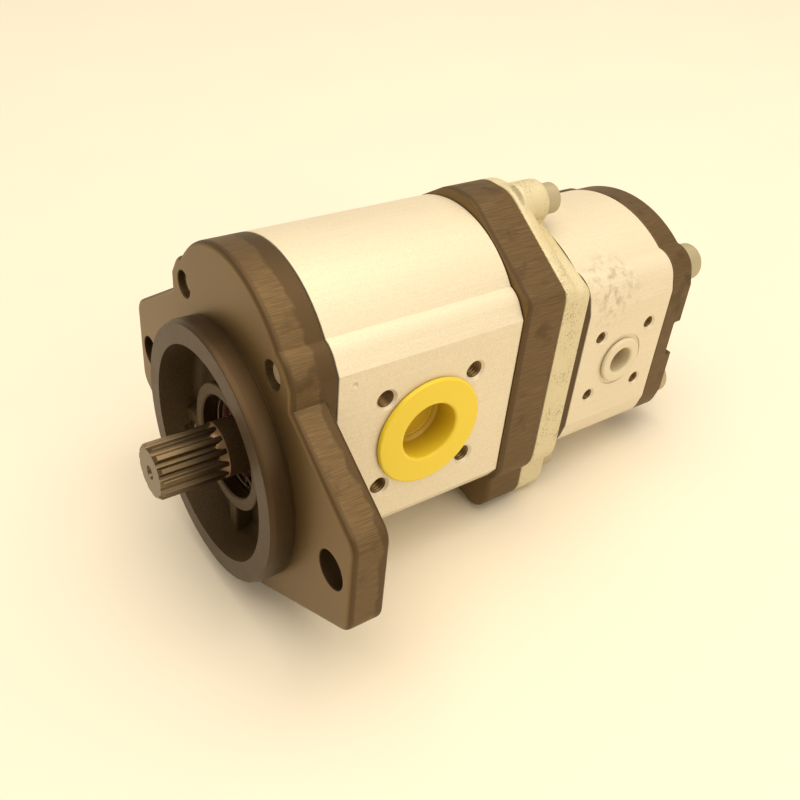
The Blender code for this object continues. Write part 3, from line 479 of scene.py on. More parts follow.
def dress(obj, material, body, slot, *nodes, crease=34):
    """Gives a finished piece its main material and its place, and ties it to the frame."""
    if obj.data.materials:
        obj.data.materials[0] = material
    else:
        obj.data.materials.append(material)
    obj.data.transform(Matrix.Translation(ORIGIN))
    obj.data.shade_smooth()
    obj.data.set_sharp_from_angle(angle=math.radians(crease))
    weighted = obj.modifiers.new("weighted normals", "WEIGHTED_NORMAL")
    weighted.keep_sharp = True
    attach(obj, body)
    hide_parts(*nodes)
    return obj


# --------------------------------------------------------------------------- materials


def add(tree, kind, settings=None, inputs=None):
    """Adds a node. inputs maps a socket to a value, or to the output that feeds it."""
    node = tree.nodes.new("ShaderNode" + kind)
    for key, value in (settings or {}).items():
        setattr(node, key, value)
    for socket, value in (inputs or {}).items():
        if isinstance(value, bpy.types.NodeSocket):
            tree.links.new(value, node.inputs[socket])
        else:
            node.inputs[socket].default_value = value
    return node


COLOURS = {"data_type": "RGBA"}
PRODUCT = {"operation": "MULTIPLY"}
PRODUCT_PLUS = {"operation": "MULTIPLY_ADD"}


def begin(name, **sockets):
    """A material with a Principled BSDF whose constant sockets are set. Spaces stand as underscores."""
    material = bpy.data.materials.new(name)
    material.use_nodes = True
    tree = material.node_tree
    shader = tree.nodes["Principled BSDF"]
    for socket, value in sockets.items():
        shader.inputs[socket.replace("_", " ")].default_value = value
    coords = add(tree, "TexCoord").outputs["Object"]
    return material, tree, shader, coords


def rgba(colour, share=1.0):
    """Opaque colour, darkened to a share of its light."""
    return (*(c * share for c in colour), 1.0)


def finishes():
    return bpy.context.scene.pump_finishes


def coated_iron(name, thickness, broached_to, wear):
    """Grey cast iron under a thin black oxide coat: ground faces, cast and broached edges.

    The eye sees brown-black satin faces. The edges have a dark grainy rim, then paler patches of fine
    lines across the thickness, then a rough dark band. broached_to is the share of the thickness the
    lines reach, wear how strongly they show.
    """
    colours = finishes()
    material, tree, shader, coords = begin(name, Metallic=0.7)
    normal = add(tree, "NewGeometry").outputs["Normal"]
    facing = add(tree, "SeparateXYZ", inputs={0: normal}).outputs["Y"]
    across = add(tree, "Math", {"operation": "ABSOLUTE"}, {0: facing}).outputs[0]
    edge = add(
        tree, "MapRange", inputs={"Value": across, "From Min": 0.96, "From Max": 0.70}
    ).outputs[0]
    along = add(tree, "SeparateXYZ", inputs={0: coords}).outputs["Y"]
    start, end = thickness
    station = add(
        tree,
        "MapRange",
        inputs={"Value": along, "From Min": ORIGIN.y + start, "From Max": ORIGIN.y + end},
    ).outputs[0]
    # Where the lines show: behind the rim, in patches of about 12 mm
    after = add(
        tree, "MapRange", inputs={"Value": station, "From Min": 0.10, "From Max": 0.15}
    ).outputs[0]
    ragged = add(tree, "TexNoise", inputs={0: coords, "Scale": 160.0, "Detail": 2.0}).outputs[0]
    reach = add(tree, "Math", PRODUCT_PLUS, {0: ragged, 1: 0.3, 2: station}).outputs[0]
    before = add(
        tree,
        "MapRange",
        inputs={"Value": reach, "From Min": broached_to + 0.19, "From Max": broached_to + 0.11},
    ).outputs[0]
    patch = add(tree, "TexNoise", inputs={0: coords, "Scale": 85.0, "Detail": 3.0}).outputs[0]
    patches = add(
        tree, "MapRange", inputs={"Value": patch, "From Min": 0.30, "From Max": 0.42}
    ).outputs[0]
    within = add(tree, "Math", PRODUCT, {0: after, 1: before}).outputs[0]
    broached = add(tree, "Math", PRODUCT, {0: within, 1: patches}).outputs[0]
    where = add(tree, "Math", PRODUCT, {0: broached, 1: edge}).outputs[0]
    # Lines 0.3 mm apart that run across the thickness, and cast grain of half a millimetre
    stretched = add(tree, "Mapping", inputs={0: coords, "Scale": (3400, 110, 3400)}).outputs[0]
    lines = add(tree, "TexNoise", inputs={0: stretched, "Scale": 1.0, "Detail": 2.0}).outputs[0]
    grain = add(tree, "TexNoise", inputs={0: coords, "Scale": 2200.0, "Detail": 3.0}).outputs[0]
    relief = add(tree, "Mix", inputs={"Factor": where, "A": grain, "B": lines}).outputs[0]
    depth = add(tree, "MapRange", inputs={"Value": edge, "To Min": 0.05, "To Max": 0.45}).outputs[0]
    bump = add(tree, "Bump", inputs={"Strength": depth, "Distance": 0.0002, "Height": relief})
    tree.links.new(bump.outputs[0], shader.inputs["Normal"])
    cloud = add(tree, "TexNoise", inputs={0: coords, "Scale": 22.0, "Detail": 4.0}).outputs[0]
    ground = add(
        tree, "Mix", COLOURS, {"Factor": cloud, "A": rgba(colours.iron, 0.72), "B": rgba(colours.iron)}
    ).outputs["Result"]
    cast = add(
        tree, "Mix", COLOURS, {"Factor": edge, "A": ground, "B": rgba(colours.iron_edge)}
    ).outputs["Result"]
    bright = add(
        tree,
        "MapRange",
        inputs={
            "Value": lines,
            "From Min": 0.40,
            "From Max": 0.60,
            "To Min": wear * 0.4,
            "To Max": wear,
        },
    ).outputs[0]
    worn = add(tree, "Math", PRODUCT, {0: bright, 1: where}).outputs[0]
    mixed = add(
        tree, "Mix", COLOURS, {"Factor": worn, "A": cast, "B": rgba(colours.iron_worn)}
    ).outputs["Result"]
    tree.links.new(mixed, shader.inputs["Base Color"])
    gloss = add(tree, "MapRange", inputs={"Value": edge, "To Min": 0.40, "To Max": 0.52}).outputs[0]
    tree.links.new(gloss, shader.inputs["Roughness"])
    return material


def turned_iron():
    """The same coat over turned iron, on the spigot and in the bores: smooth and nearly black."""
    return mottled("turned_coated_iron", finishes().iron_turned, 0.42, 0.7, 0.8, 0.04, 0.75)


def as_cast_iron():
    """The same coat over iron as it left the sand: dark and matt, with grain of half a millimetre."""
    colours = finishes()
    material, tree, shader, coords = begin("as_cast_coated_iron", Metallic=0.3, Roughness=0.55)
    grain = add(tree, "TexNoise", inputs={0: coords, "Scale": 1900.0, "Detail": 3.0}).outputs[0]
    bump = add(tree, "Bump", inputs={"Strength": 0.8, "Distance": 0.0003, "Height": grain})
    tree.links.new(bump.outputs[0], shader.inputs["Normal"])
    shade = add(
        tree, "MapRange", inputs={"Value": grain, "From Min": 0.35, "From Max": 0.70}
    ).outputs[0]
    mixed = add(
        tree,
        "Mix",
        COLOURS,
        {"Factor": shade, "A": rgba(colours.iron_dark, 0.5), "B": rgba(colours.iron_dark)},
    ).outputs["Result"]
    tree.links.new(mixed, shader.inputs["Base Color"])
    return material


def extruded_aluminium(name="extruded_aluminium", smudged=False):
    """Aluminium extrusion, etched: pale and flat, with faint die lines and a sandy grain."""
    colours = finishes()
    material, tree, shader, coords = begin(name, Metallic=0.3)
    # Die lines 0.5 mm apart along the pump
    stretched = add(tree, "Mapping", inputs={0: coords, "Scale": (2000, 40, 2000)}).outputs[0]
    lines = add(tree, "TexNoise", inputs={0: stretched, "Scale": 1.0, "Detail": 2.0}).outputs[0]
    grain = add(tree, "TexNoise", inputs={0: coords, "Scale": 1800.0, "Detail": 3.0}).outputs[0]
    total = add(tree, "Math", PRODUCT_PLUS, {0: lines, 1: 0.35, 2: grain}).outputs[0]
    bump = add(tree, "Bump", inputs={"Strength": 0.14, "Distance": 0.0002, "Height": total})
    tree.links.new(bump.outputs[0], shader.inputs["Normal"])
    shade = add(
        tree, "MapRange", inputs={"Value": total, "From Min": 0.45, "From Max": 0.85}
    ).outputs[0]
    skin = add(
        tree,
        "Mix",
        COLOURS,
        {"Factor": shade, "A": rgba(colours.extrusion, 0.86), "B": rgba(colours.extrusion)},
    ).outputs["Result"]
    if smudged:
        # Grey transfer marks near the upper crease
        spot = ORIGIN + Vector((REAR.half_width - 0.006, REAR.port_y - 0.010, REAR.bolts[0][1] + 0.003))
        away = add(tree, "VectorMath", {"operation": "DISTANCE"}, {0: coords, 1: spot}).outputs["Value"]
        near = add(
            tree, "MapRange", inputs={"Value": away, "From Min": 0.018, "From Max": 0.003}
        ).outputs[0]
        blot = add(tree, "TexNoise", inputs={0: coords, "Scale": 300.0, "Detail": 4.0}).outputs[0]
        blots = add(
            tree, "MapRange", inputs={"Value": blot, "From Min": 0.48, "From Max": 0.70, "To Max": 0.7}
        ).outputs[0]
        marks = add(tree, "Math", PRODUCT, {0: near, 1: blots}).outputs[0]
        skin = add(
            tree, "Mix", COLOURS, {"Factor": marks, "A": skin, "B": rgba(linear("#8f8064"))}
        ).outputs["Result"]
    tree.links.new(skin, shader.inputs["Base Color"])
    cloud = add(tree, "TexNoise", inputs={0: coords, "Scale": 60.0, "Detail": 3.0}).outputs[0]
    gloss = add(tree, "MapRange", inputs={"Value": cloud, "To Min": 0.46, "To Max": 0.58}).outputs[0]
    tree.links.new(gloss, shader.inputs["Roughness"])
    return material


def cast_aluminium():
    """Sand-cast aluminium, tumbled: pale cream with fine dark pits, oil-stained by the top ear."""
    colours = finishes()
    material, tree, shader, coords = begin("sand_cast_aluminium", Metallic=0.25, Roughness=0.55)
    lumps = add(tree, "TexNoise", inputs={0: coords, "Scale": 900.0, "Detail": 3.0}).outputs[0]
    bump = add(tree, "Bump", inputs={"Strength": 0.25, "Distance": 0.0003, "Height": lumps})
    tree.links.new(bump.outputs[0], shader.inputs["Normal"])
    pits = add(tree, "TexNoise", inputs={0: coords, "Scale": 1700.0, "Detail": 2.0}).outputs[0]
    patch = add(tree, "TexNoise", inputs={0: coords, "Scale": 110.0, "Detail": 3.0}).outputs[0]
    pitted = add(tree, "Math", PRODUCT_PLUS, {0: patch, 1: 0.6, 2: pits}).outputs[0]
    dark = add(
        tree, "MapRange", inputs={"Value": pitted, "From Min": 0.88, "From Max": 1.02, "To Max": 0.75}
    ).outputs[0]
    stain_middle = ORIGIN + middle("adapter_bolt_1") + Vector((0.012, 0, -0.012))
    away = add(
        tree, "VectorMath", {"operation": "DISTANCE"}, {0: coords, 1: stain_middle}
    ).outputs["Value"]
    near = add(
        tree, "MapRange", inputs={"Value": away, "From Min": 0.016, "From Max": 0.004, "To Max": 0.6}
    ).outputs[0]
    clean = add(
        tree, "Mix", COLOURS, {"Factor": near, "A": rgba(colours.casting), "B": rgba(linear("#c2b078"))}
    ).outputs["Result"]
    mixed = add(
        tree, "Mix", COLOURS, {"Factor": dark, "A": clean, "B": rgba(colours.pits)}
    ).outputs["Result"]
    tree.links.new(mixed, shader.inputs["Base Color"])
    return material


def ground_steel(name):
    """Case-hardened steel, ground: grey-brown bright metal with fine lines along the shaft."""
    colours = finishes()
    material, tree, shader, coords = begin(name, Metallic=1.0)
    stretched = add(tree, "Mapping", inputs={0: coords, "Scale": (1600, 60, 1600)}).outputs[0]
    lines = add(tree, "TexNoise", inputs={0: stretched, "Scale": 1.0, "Detail": 3.0}).outputs[0]
    bump = add(tree, "Bump", inputs={"Strength": 0.15, "Distance": 0.0002, "Height": lines})
    tree.links.new(bump.outputs[0], shader.inputs["Normal"])
    colour = add(
        tree, "Mix", COLOURS, {"Factor": lines, "A": rgba(colours.steel, 0.6), "B": rgba(colours.steel)}
    ).outputs["Result"]
    tree.links.new(colour, shader.inputs["Base Color"])
    gloss = add(tree, "MapRange", inputs={"Value": lines, "To Min": 0.24, "To Max": 0.42}).outputs[0]
    tree.links.new(gloss, shader.inputs["Roughness"])
    return material


def mottled(name, colour, roughness, metallic=0.0, size_mm=1.0, depth=0.1, change=0.8):
    """A finish whose colour and surface vary gently, with features of size_mm."""
    material, tree, shader, coords = begin(name, Metallic=metallic)
    scale = 1000.0 / size_mm
    noise = add(tree, "TexNoise", inputs={0: coords, "Scale": scale, "Detail": 4.0}).outputs[0]
    bump = add(tree, "Bump", inputs={"Strength": depth, "Distance": 0.0003, "Height": noise})
    tree.links.new(bump.outputs[0], shader.inputs["Normal"])
    cloud = add(tree, "TexNoise", inputs={0: coords, "Scale": scale / 12, "Detail": 3.0}).outputs[0]
    lower = rgba(colour, change)
    mixed = add(
        tree, "Mix", COLOURS, {"Factor": cloud, "A": lower, "B": rgba(colour)}
    ).outputs["Result"]
    tree.links.new(mixed, shader.inputs["Base Color"])
    gloss = add(
        tree,
        "MapRange",
        inputs={"Value": cloud, "To Min": roughness - 0.08, "To Max": roughness + 0.08},
    ).outputs[0]
    tree.links.new(gloss, shader.inputs["Roughness"])
    return material


def moulded_polyethylene(name, colour, face):
    """Soft polyethylene, moulded: waxy and slightly translucent, with painted shade that darkens the
    inside of the cup.

    face is how far the port face is from the middle of the pump.
    """
    material = mottled(name, colour, 0.42, size_mm=3.0, depth=0.05, change=0.94)
    tree = material.node_tree
    shader = tree.nodes["Principled BSDF"]
    coords = add(tree, "TexCoord").outputs["Object"]
    aside = add(tree, "SeparateXYZ", inputs={0: coords}).outputs["X"]
    away = add(tree, "Math", {"operation": "ABSOLUTE"}, {0: aside}).outputs[0]
    # Painted shade: darker and more orange deeper in the cup, away from the port face
    inside = add(
        tree,
        "MapRange",
        inputs={"Value": away, "From Min": face + 0.0006, "From Max": face - 0.0080, "To Max": 0.8},
    ).outputs[0]
    mixed = add(
        tree,
        "Mix",
        COLOURS,
        {
            "Factor": inside,
            "A": shader.inputs["Base Color"].links[0].from_socket,
            "B": rgba([c * share for c, share in zip(colour, (0.55, 0.45, 0.30))]),
        },
    ).outputs["Result"]
    tree.links.new(mixed, shader.inputs["Base Color"])
    shader.inputs["Subsurface Weight"].default_value = 0.05
    shader.inputs["Subsurface Radius"].default_value = (0.002, 0.0012, 0.0004)
    shader.inputs["IOR"].default_value = 1.5
    return material


# ------------------------------------------------------------------------------ pieces


class PUMP_OT_front_cover(Operator):
    """Black cast front cover with ears, locating spigot and seal hub"""

    bl_idname = "pump.front_cover"
    bl_label = "Front Cover"

    def execute(self, context):
        sizes = context.scene.pump_cover
        low, high = span("front_cover")
        hole_x = sizes.hole_spacing / 2
        corner = sizes.ear_corner
        across = high.x - corner
        up = sizes.ear_height - corner
        cover = piece_of(
            "front_cover_casting", slab(section(FRONT), 0, high.y, sizes.edge_round, 0.0006)
        )
        cover.data.materials.append(coated_iron("coated_cast_iron", (0, high.y), 0.60, 0.75))
        smooth, rough = turned_iron(), as_cast_iron()
        corners = [(s * across, t * up, corner) for s in (1, -1) for t in (1, -1)]
        web = band(corners + [(0, low.z + sizes.web_radius, sizes.web_radius)])
        join(cover, slab(web, THIN, high.y - sizes.ear_setback, sizes.edge_round, 0.0014))
        join(cover, self.pilot(sizes), material=smooth)
        floor = sizes.hollow_floor
        wall = sizes.hollow_radius
        bowl = [(0, -0.03), (wall + 0.0002, -0.03), (wall, -PILOT_HEIGHT + 0.001)]
        bowl += arc((wall - 0.0045, floor - 0.0040), 0.0040, 0, math.pi / 2, 8)
        cut(cover, turned(bowl + [(0, floor)]), material=rough)
        join(cover, self.hub(sizes), material=rough)
        for side in (1, -1):
            join(cover, self.rib(sizes, side), self.boss(sizes, side), material=rough)
        cut(cover, *self.bores(sizes, high.y), material=smooth)
        holes = [hole(s * hole_x, 0, sizes.hole_radius, 0, high.y + 0.002, 0.0003) for s in (1, -1)]
        cut(cover, *holes, material=smooth)
        # The two lower bolts come out on the bosses in the hollow
        for (x, z), start in zip(FRONT.bolts, (0.0, 0.0, 0.001, 0.001)):
            cut(cover, hole(x, z, STAGE_BOLT_HOLE, start, high.y + 0.002, 0.0003))
        dress(cover, cover.data.materials[0], "housing", "cast_black", "front_cover")
        return {"FINISHED"}

    def pilot(self, sizes):
        """The spigot: a lead-in chamfer in front, and a narrow relief groove at its foot."""
        radius = sizes.pilot_radius
        lead = sizes.pilot_lead
        profile = [
            (0, 0.006),
            (radius - sizes.relief, 0.006),
            (radius - sizes.relief, -0.0010),
            (radius, -0.0013),
            (radius, lead - PILOT_HEIGHT),
            (radius - 0.0007, 0.0003 - PILOT_HEIGHT),
            (radius - 0.0010, -PILOT_HEIGHT),
            (0, -PILOT_HEIGHT),
        ]
        return turned(profile, 160)

    def hub(self, sizes):
        face = -0.0013
        floor = sizes.hollow_floor
        radius = sizes.hub_radius
        fillet = 0.0030
        foot = [
            (radius + fillet - fillet * math.sin(a), floor - fillet + fillet * (1 - math.cos(a)))
            for a in [math.pi / 2 * i / 6 for i in range(7)]
        ]
        skirt = [(r, floor - fillet + (floor - y)) for r, y in foot]
        profile = [(0, floor + 0.004), (radius + fillet, floor + 0.004)] + skirt
        return turned(profile + [(radius, face + 0.0004), (radius - 0.0004, face), (0, face)])

    def rib(self, sizes, side):
        inner = sizes.hub_radius - 0.004
        outer = sizes.hollow_radius + 0.002
        ends = sorted((side * inner, side * outer))
        shape = block((-0.003, 0.0007, ends[0]), (0.003, sizes.hollow_floor + 0.003, ends[1]))
        upright = [e for e in shape.edges if abs(e.verts[0].co.z - e.verts[1].co.z) > 0.001]
        rim = [e for e in upright if max(v.co.y for v in e.verts) < 0.002]
        return rounded(shape, rim, 0.0012, 3)

    def boss(self, sizes, side):
        """A bolt boss that grows out of the hollow's floor, with a flat machined end."""
        x, z = FRONT.bolts[2]
        radius = sizes.boss_radius
        floor = sizes.hollow_floor
        profile = [(0, floor + 0.003), (radius + 0.0035, floor + 0.003)]
        profile += [(radius + 0.0018, floor - 0.0016), (radius + 0.0004, 0.0020)]
        profile += [(radius - 0.0002, 0.0010), (0, 0.0010)]
        return moved(turned(profile, 64), x=side * x, z=z)

    def bores(self, sizes, back):
        """The seal's bore with its ring groove, and the shaft's passage."""
        ring_low, ring_high = span("seal_retaining_ring")
        bore = sizes.seal_bore
        groove = bore + 0.0011
        seat = span("shaft_seal")[1].y + GAP
        profile = [(0, -0.004), (bore + 0.0006, -0.004), (bore + 0.0006, -0.0013), (bore, -0.0007)]
        profile += [(bore, ring_low.y - GAP), (groove, ring_low.y - GAP)]
        profile += [(groove, ring_high.y + GAP), (bore, ring_high.y + GAP), (bore, seat), (0, seat)]
        return turned(profile), hole(0, 0, 0.0119, 0.005, back + 0.002)


class PUMP_OT_drive_shaft(Operator):
    """Splined drive shaft with its gear and the flats that enter the coupling"""

    bl_idname = "pump.drive_shaft"
    bl_label = "Drive Shaft"

    def execute(self, context):
        sizes = context.scene.pump_shaft
        low, high = span("front_drive_gear_shaft")
        journal = sizes.journal_radius
        end = FRONT.end - GAP
        full = -0.0046
        run_out = full - sizes.run_out
        profile = [(0, end), (journal - 0.0005, end), (journal, end - 0.0005)]
        for i in range(9):
            share = 1 - i / 8
            rise = (journal - sizes.root_radius) * share**2
            profile.append((sizes.root_radius + rise, full - sizes.run_out * (1 - share)))
        profile.append((0, run_out))
        shaft = piece_of("splined_drive_shaft", turned(profile, 72))
        # Steel polished by the seal, under a brown film of oil
        shaft.data.materials.append(
            mottled("oil_browned_steel", finishes().journal, 0.28, 0.75, 1.0, 0.03, 0.7)
        )
        steel = ground_steel("ground_spline_steel")
        teeth = piece_of(
            "teeth", slab(spline_outline(sizes.tip_radius, sizes.root_radius), low.y, full + 0.0010)
        )
        tip = sizes.tip_radius
        nose = [(0, full + 0.003), (tip, full + 0.003), (tip + 0.0001, low.y + sizes.chamfer)]
        nose += [(tip - sizes.chamfer * 0.8, low.y), (0, low.y)]
        combine(teeth, "INTERSECT", turned(nose, 104))
        join(shaft, shape_of(teeth), material=steel)
        first = span("front_bearing_block_a")[1].y + GAP
        last = span("front_bearing_block_b")[0].y - GAP
        wheel = slab(gear_outline(FRONT, math.pi / 2), first, last, 0.0003, 0.0003, 1)
        join(shaft, wheel, material=steel)
        join(shaft, slab(tongue_outline(), end - 0.002, high.y, 0, 0.0005, 2), material=steel)
        centre = [(0, low.y - 0.002), (0.0029, low.y - 0.002), (0.0027, low.y + 0.0001)]
        centre += [(0.0015, low.y + 0.0032), (0.0015, low.y + 0.007), (0, low.y + 0.008)]
        cut(shaft, turned(centre, 48), material=steel)
        dress(shaft, shaft.data.materials[0], "drive_train", "ground_steel", "front_drive_gear_shaft")
        return {"FINISHED"}


def tongue_outline():
    """A round bar with two flats."""
    radius = 0.0080
    half = math.asin(0.0058 / radius)
    end = arc((0, 0), radius, -half, half, 16)
    return end + [(-x, -z) for x, z in end]


class PUMP_OT_gears(Operator):
    """Driven gears of both stages, and the rear stage's drive gear"""

    bl_idname = "pump.gears"
    bl_label = "Gears"

    def execute(self, context):
        tooth_down = -math.pi / 2 + math.pi / 12
        steel = ground_steel("ground_gear_steel")
        rows = (
            ("front_driven_gear_shaft", FRONT, FRONT_JOURNAL, "front_driven_gear", tooth_down),
            ("rear_driven_gear_shaft", REAR, REAR_JOURNAL, "rear_driven_gear", tooth_down),
            ("rear_drive_gear_shaft", REAR, REAR_JOURNAL, "drive_train", math.pi / 2),
        )
        for node, stage, journal, body, phase in rows:
            low, high = span(node)
            driven = "driven" in node
            start = low.y if driven else span("rear_stage_front_plate")[0].y
            profile = [(0, high.y), (journal - 0.0005, high.y), (journal, high.y - 0.0005)]
            profile += [(journal, start + 0.0005), (journal - 0.0005, start), (0, start)]
            gear = piece_of(node.replace("_gear", "_toothed"), turned(profile, 64))
            first = span(stage.name + "_bearing_block_a")[1].y + GAP
            last = span(stage.name + "_bearing_block_b")[0].y - GAP
            join(gear, slab(gear_outline(stage, phase), first, last, 0.0003, 0.0003, 1))
            if driven:
                gear.data.transform(Matrix.Translation((0, 0, stage.gear_distance)))
            else:
                join(gear, slab(tongue_outline(), low.y, start + 0.002, 0.0005, 0, 2))
            dress(gear, steel, body, "ground_steel", node)
        return {"FINISHED"}


class PUMP_OT_shaft_seal(Operator):
    """Lip seal and its retaining ring"""

    bl_idname = "pump.shaft_seal"
    bl_label = "Shaft Seal"

    def execute(self, context):
        colours = finishes()
        low, high = span("shaft_seal")
        outer = high.x
        inner = context.scene.pump_shaft.journal_radius + GAP
        length_y = high.y - low.y
        profile = [(inner + 0.0024, length_y), (outer - 0.0004, length_y), (outer, length_y - 0.0004)]
        profile += [(outer, 0.0005), (outer - 0.0005, 0), (outer - 0.0016, 0), (outer - 0.0022, 0.0006)]
        profile += [(outer - 0.0026, 0.0022), (inner + 0.0026, 0.0030), (inner + 0.0018, 0.0026)]
        profile += [(inner + 0.0006, 0.0014), (inner + 0.0001, 0.0012), (inner, 0.0018)]
        profile.append((inner + 0.0006, 0.0034))
        seal = piece_of("lip_seal", moved(turned(profile, 96, closed=True), y=low.y))
        rubber = mottled("nitrile_rubber_brown", colours.lip, 0.5, size_mm=0.6, depth=0.15, change=0.6)
        dress(seal, rubber, "housing", "red_rubber", "shaft_seal")
        ring = self.ring()
        spring_steel = mottled("spring_steel", colours.steel, 0.36, 1.0, 0.8, 0.1, 0.6)
        dress(ring, spring_steel, "housing", "ground_steel", "seal_retaining_ring")
        return {"FINISHED"}

    def ring(self):
        """An open ring with an eye at each end, for the pliers."""
        low, high = span("seal_retaining_ring")
        outer = high.x
        inner = outer - 0.0024
        gap_middle, gap_half = -50.0, 15.0
        start = math.radians(gap_middle + gap_half)
        end = math.radians(gap_middle + 360 - gap_half)
        outline = arc((0, 0), outer, start, end, 80) + arc((0, 0), inner, end, start, 80)
        ring = piece_of("retaining_ring", slab(outline, low.y, high.y, 0.0002, 0.0002, 1))
        eye = 0.0026
        for side in (1, -1):
            x, z = polar(inner - eye * 0.6, math.radians(gap_middle + side * (gap_half + 5)))
            join(ring, slab(circle((x, z), eye, 32), low.y + THIN, high.y - THIN, 0.0002, 0.0002, 1))
            cut(ring, hole(x, z, 0.0011, low.y, high.y + 0.002, steps=20))
        return ring


class PUMP_OT_stage_bodies(Operator):
    """Extruded aluminium bodies of both stages, with ports and tapped holes"""

    bl_idname = "pump.stage_bodies"
    bl_label = "Stage Bodies"

    def execute(self, context):
        ports = context.scene.pump_ports
        front = (ports.front_circle, ports.front_thread, ports.front_pitch, ports.front_bore)
        rear = (ports.rear_circle, ports.rear_thread, ports.rear_pitch, ports.rear_bore)
        # Cut threads, their metal darkened by painted shade in the hole: dark brown between bright crests
        thread_shade = mottled("painted_shade_thread_metal", finishes().thread_shade, 0.32, 0.8, 0.4, 0.2, 0.5)
        self.body(FRONT, front, 0.015, 0.0, extruded_aluminium(), thread_shade)
        smudged = extruded_aluminium("extruded_aluminium_smudged", smudged=True)
        self.body(REAR, rear, 0.013, ports.pad_radius, smudged, thread_shade)
        return {"FINISHED"}

    def body(self, stage, port, depth, pad, material, thread_shade):
        bolt_circle, thread, pitch, bore = port
        whole = slab(section(stage), stage.start, stage.end, 0.0003, 0.0003, 2)
        body = piece_of(stage.name + "_extrusion", whole)
        body.data.materials.append(material)
        gear_bore = span(stage.name + "_bearing_block_a")[1].x + GAP
        ends = (stage.start - OVERRUN, stage.end + OVERRUN)
        cut(body, slab(eight(stage, gear_bore), *ends))
        drill(body, stage.bolts, STAGE_BOLT_HOLE, *ends)
        for node_end in ("a", "b"):
            seal_low, seal_high = span(f"{stage.name}_body_seal_{node_end}")
            outer = eight(stage, seal_high.x + GAP)
            inner = eight(stage, seal_high.x - 0.0018 - GAP)
            ring = piece_of("track", slab(outer, seal_low.y - GAP, seal_high.y + GAP))
            cut(ring, slab(inner, seal_low.y - OVERRUN, seal_high.y + OVERRUN))
            cut(body, shape_of(ring))
        face = stage.half_width
        half = bolt_circle / 2 / math.sqrt(2)
        passage = face - gear_bore * 0.4
        for side in (1, -1):
            mouth = [(0, -0.002), (bore + 0.0004, -0.002), (bore + 0.0004, 0), (bore, 0.0004)]
            mouth += [(bore, passage), (0, passage)]
            cut(body, self.at_face(turned(mouth), stage, side, 0, 0))
            if pad:
                flat = [(0, -0.002), (pad, -0.002), (pad, 0.0004), (pad - 0.0001, 0.0005), (0, 0.0005)]
                cut(body, self.at_face(turned(flat), stage, side, 0, 0))
            mouth = thread + 0.0004
            lead = [(0, -0.002), (mouth, -0.002), (mouth, 0), (0, mouth)]
            for y, z in ((half, half), (half, -half), (-half, half), (-half, -half)):
                screw = tapped(thread, pitch, depth, thread + 0.0002)
                # The thread walls take the colour that carries the painted shade
                cut(body, self.at_face(screw, stage, side, y, z), material=thread_shade)
                cut(body, self.at_face(turned(lead, 40), stage, side, y, z))
        if stage is FRONT:
            dot = turned([(0, -0.001), (0.0013, -0.001), (0.0012, 0), (0, 0.0010)], 24)
            cut(body, self.at_face(dot, stage, 1, -0.0330, 0.0300))
        dress(body, material, "housing", "bare_aluminium", stage.name + "_body", crease=8)

    def at_face(self, shape, stage, side, y, z):
        """Sets a cutter made along +Y so that it enters a port face."""
        sideways(shape, -side)
        return moved(shape, x=side * stage.half_width, y=stage.port_y + y, z=stage.port_z + z)


class PUMP_OT_port_caps(Operator):
    """Plastic caps in the four ports"""

    bl_idname = "pump.port_caps"
    bl_label = "Port Caps"

    def execute(self, context):
        colours = finishes()
        # Both cap materials carry painted shade inside their cups
        yellow = moulded_polyethylene("polyethylene_yellow", colours.yellow, FRONT.half_width)
        grey = moulded_polyethylene("polyethylene_grey", colours.grey, REAR.half_width)
        for stage, cup, thick, wall, material, slot in (
            (FRONT, 0.0132, 0.0018, 0.0015, yellow, "yellow_plastic"),
            (REAR, 0.0070, 0.0018, 0.0012, grey, "grey_plastic"),
        ):
            for side, port in ((1, "inlet"), (-1, "outlet")):
                node = f"{stage.name}_{port}_cap"
                low, high = span(node)
                flange = (high.z - low.z) / 2
                depth = high.x - low.x - thick
                seat = side * (max(abs(low.x), abs(high.x)) - thick)
                shape = sideways(turned(self.profile(flange, thick, cup, wall, depth), 128), side)
                cap = piece_of(node + "_moulding", moved(shape, x=seat, y=stage.port_y, z=stage.port_z))
                dress(cap, material, f"{stage.name}_{port}_plug", slot, node)
        return {"FINISHED"}

    def profile(self, flange, thick, cup, wall, depth):
        """Half section of a cap: a flange outside, a cup inside, all edges rounded."""
        inside = cup - wall
        lip = arc((inside + 0.0012, thick - 0.0012), 0.0012, math.pi, math.pi / 2, 6)
        rim = arc((flange - 0.0010, thick - 0.0010), 0.0010, math.pi / 2, 0, 6)
        y = wall - depth
        floor = [(0, y), (inside - 0.0030, y), (inside - 0.0026, y + 0.0003)]
        floor += [(inside - 0.0012, y + 0.0003), (inside - 0.0002, y + 0.0012)]
        back = [(flange, 0.0004), (flange - 0.0004, 0), (cup, 0), (cup - 0.0003, 0.0010 - depth)]
        return floor + lip + rim + back + [(cup - 0.0013, -depth), (0, -depth)]


def plate_outline(crest_drop=0.0):
    """The intermediate plate: a crest over the driven gear, square shoulders, the arc below."""
    high = span("intermediate_plate")[1]
    crest_radius = 0.0152
    crest_x = 0.0026
    side = high.x
    corner = 0.0050
    lobe = 0.0126
    bolt = FRONT.bolts[0]
    crest = high.z - crest_radius - crest_drop
    shoulder = bolt[1] + 0.0039 - crest_drop / 4
    circles = [(0, 0, FRONT.arc_radius)]
    for sign in (1, -1):
        circles.append((sign * crest_x, crest, crest_radius))
        circles.append((sign * (side - corner), shoulder, corner))
        circles.append((sign * (side - lobe), FRONT.gear_distance - bolt[1], lobe))
    return band(circles)


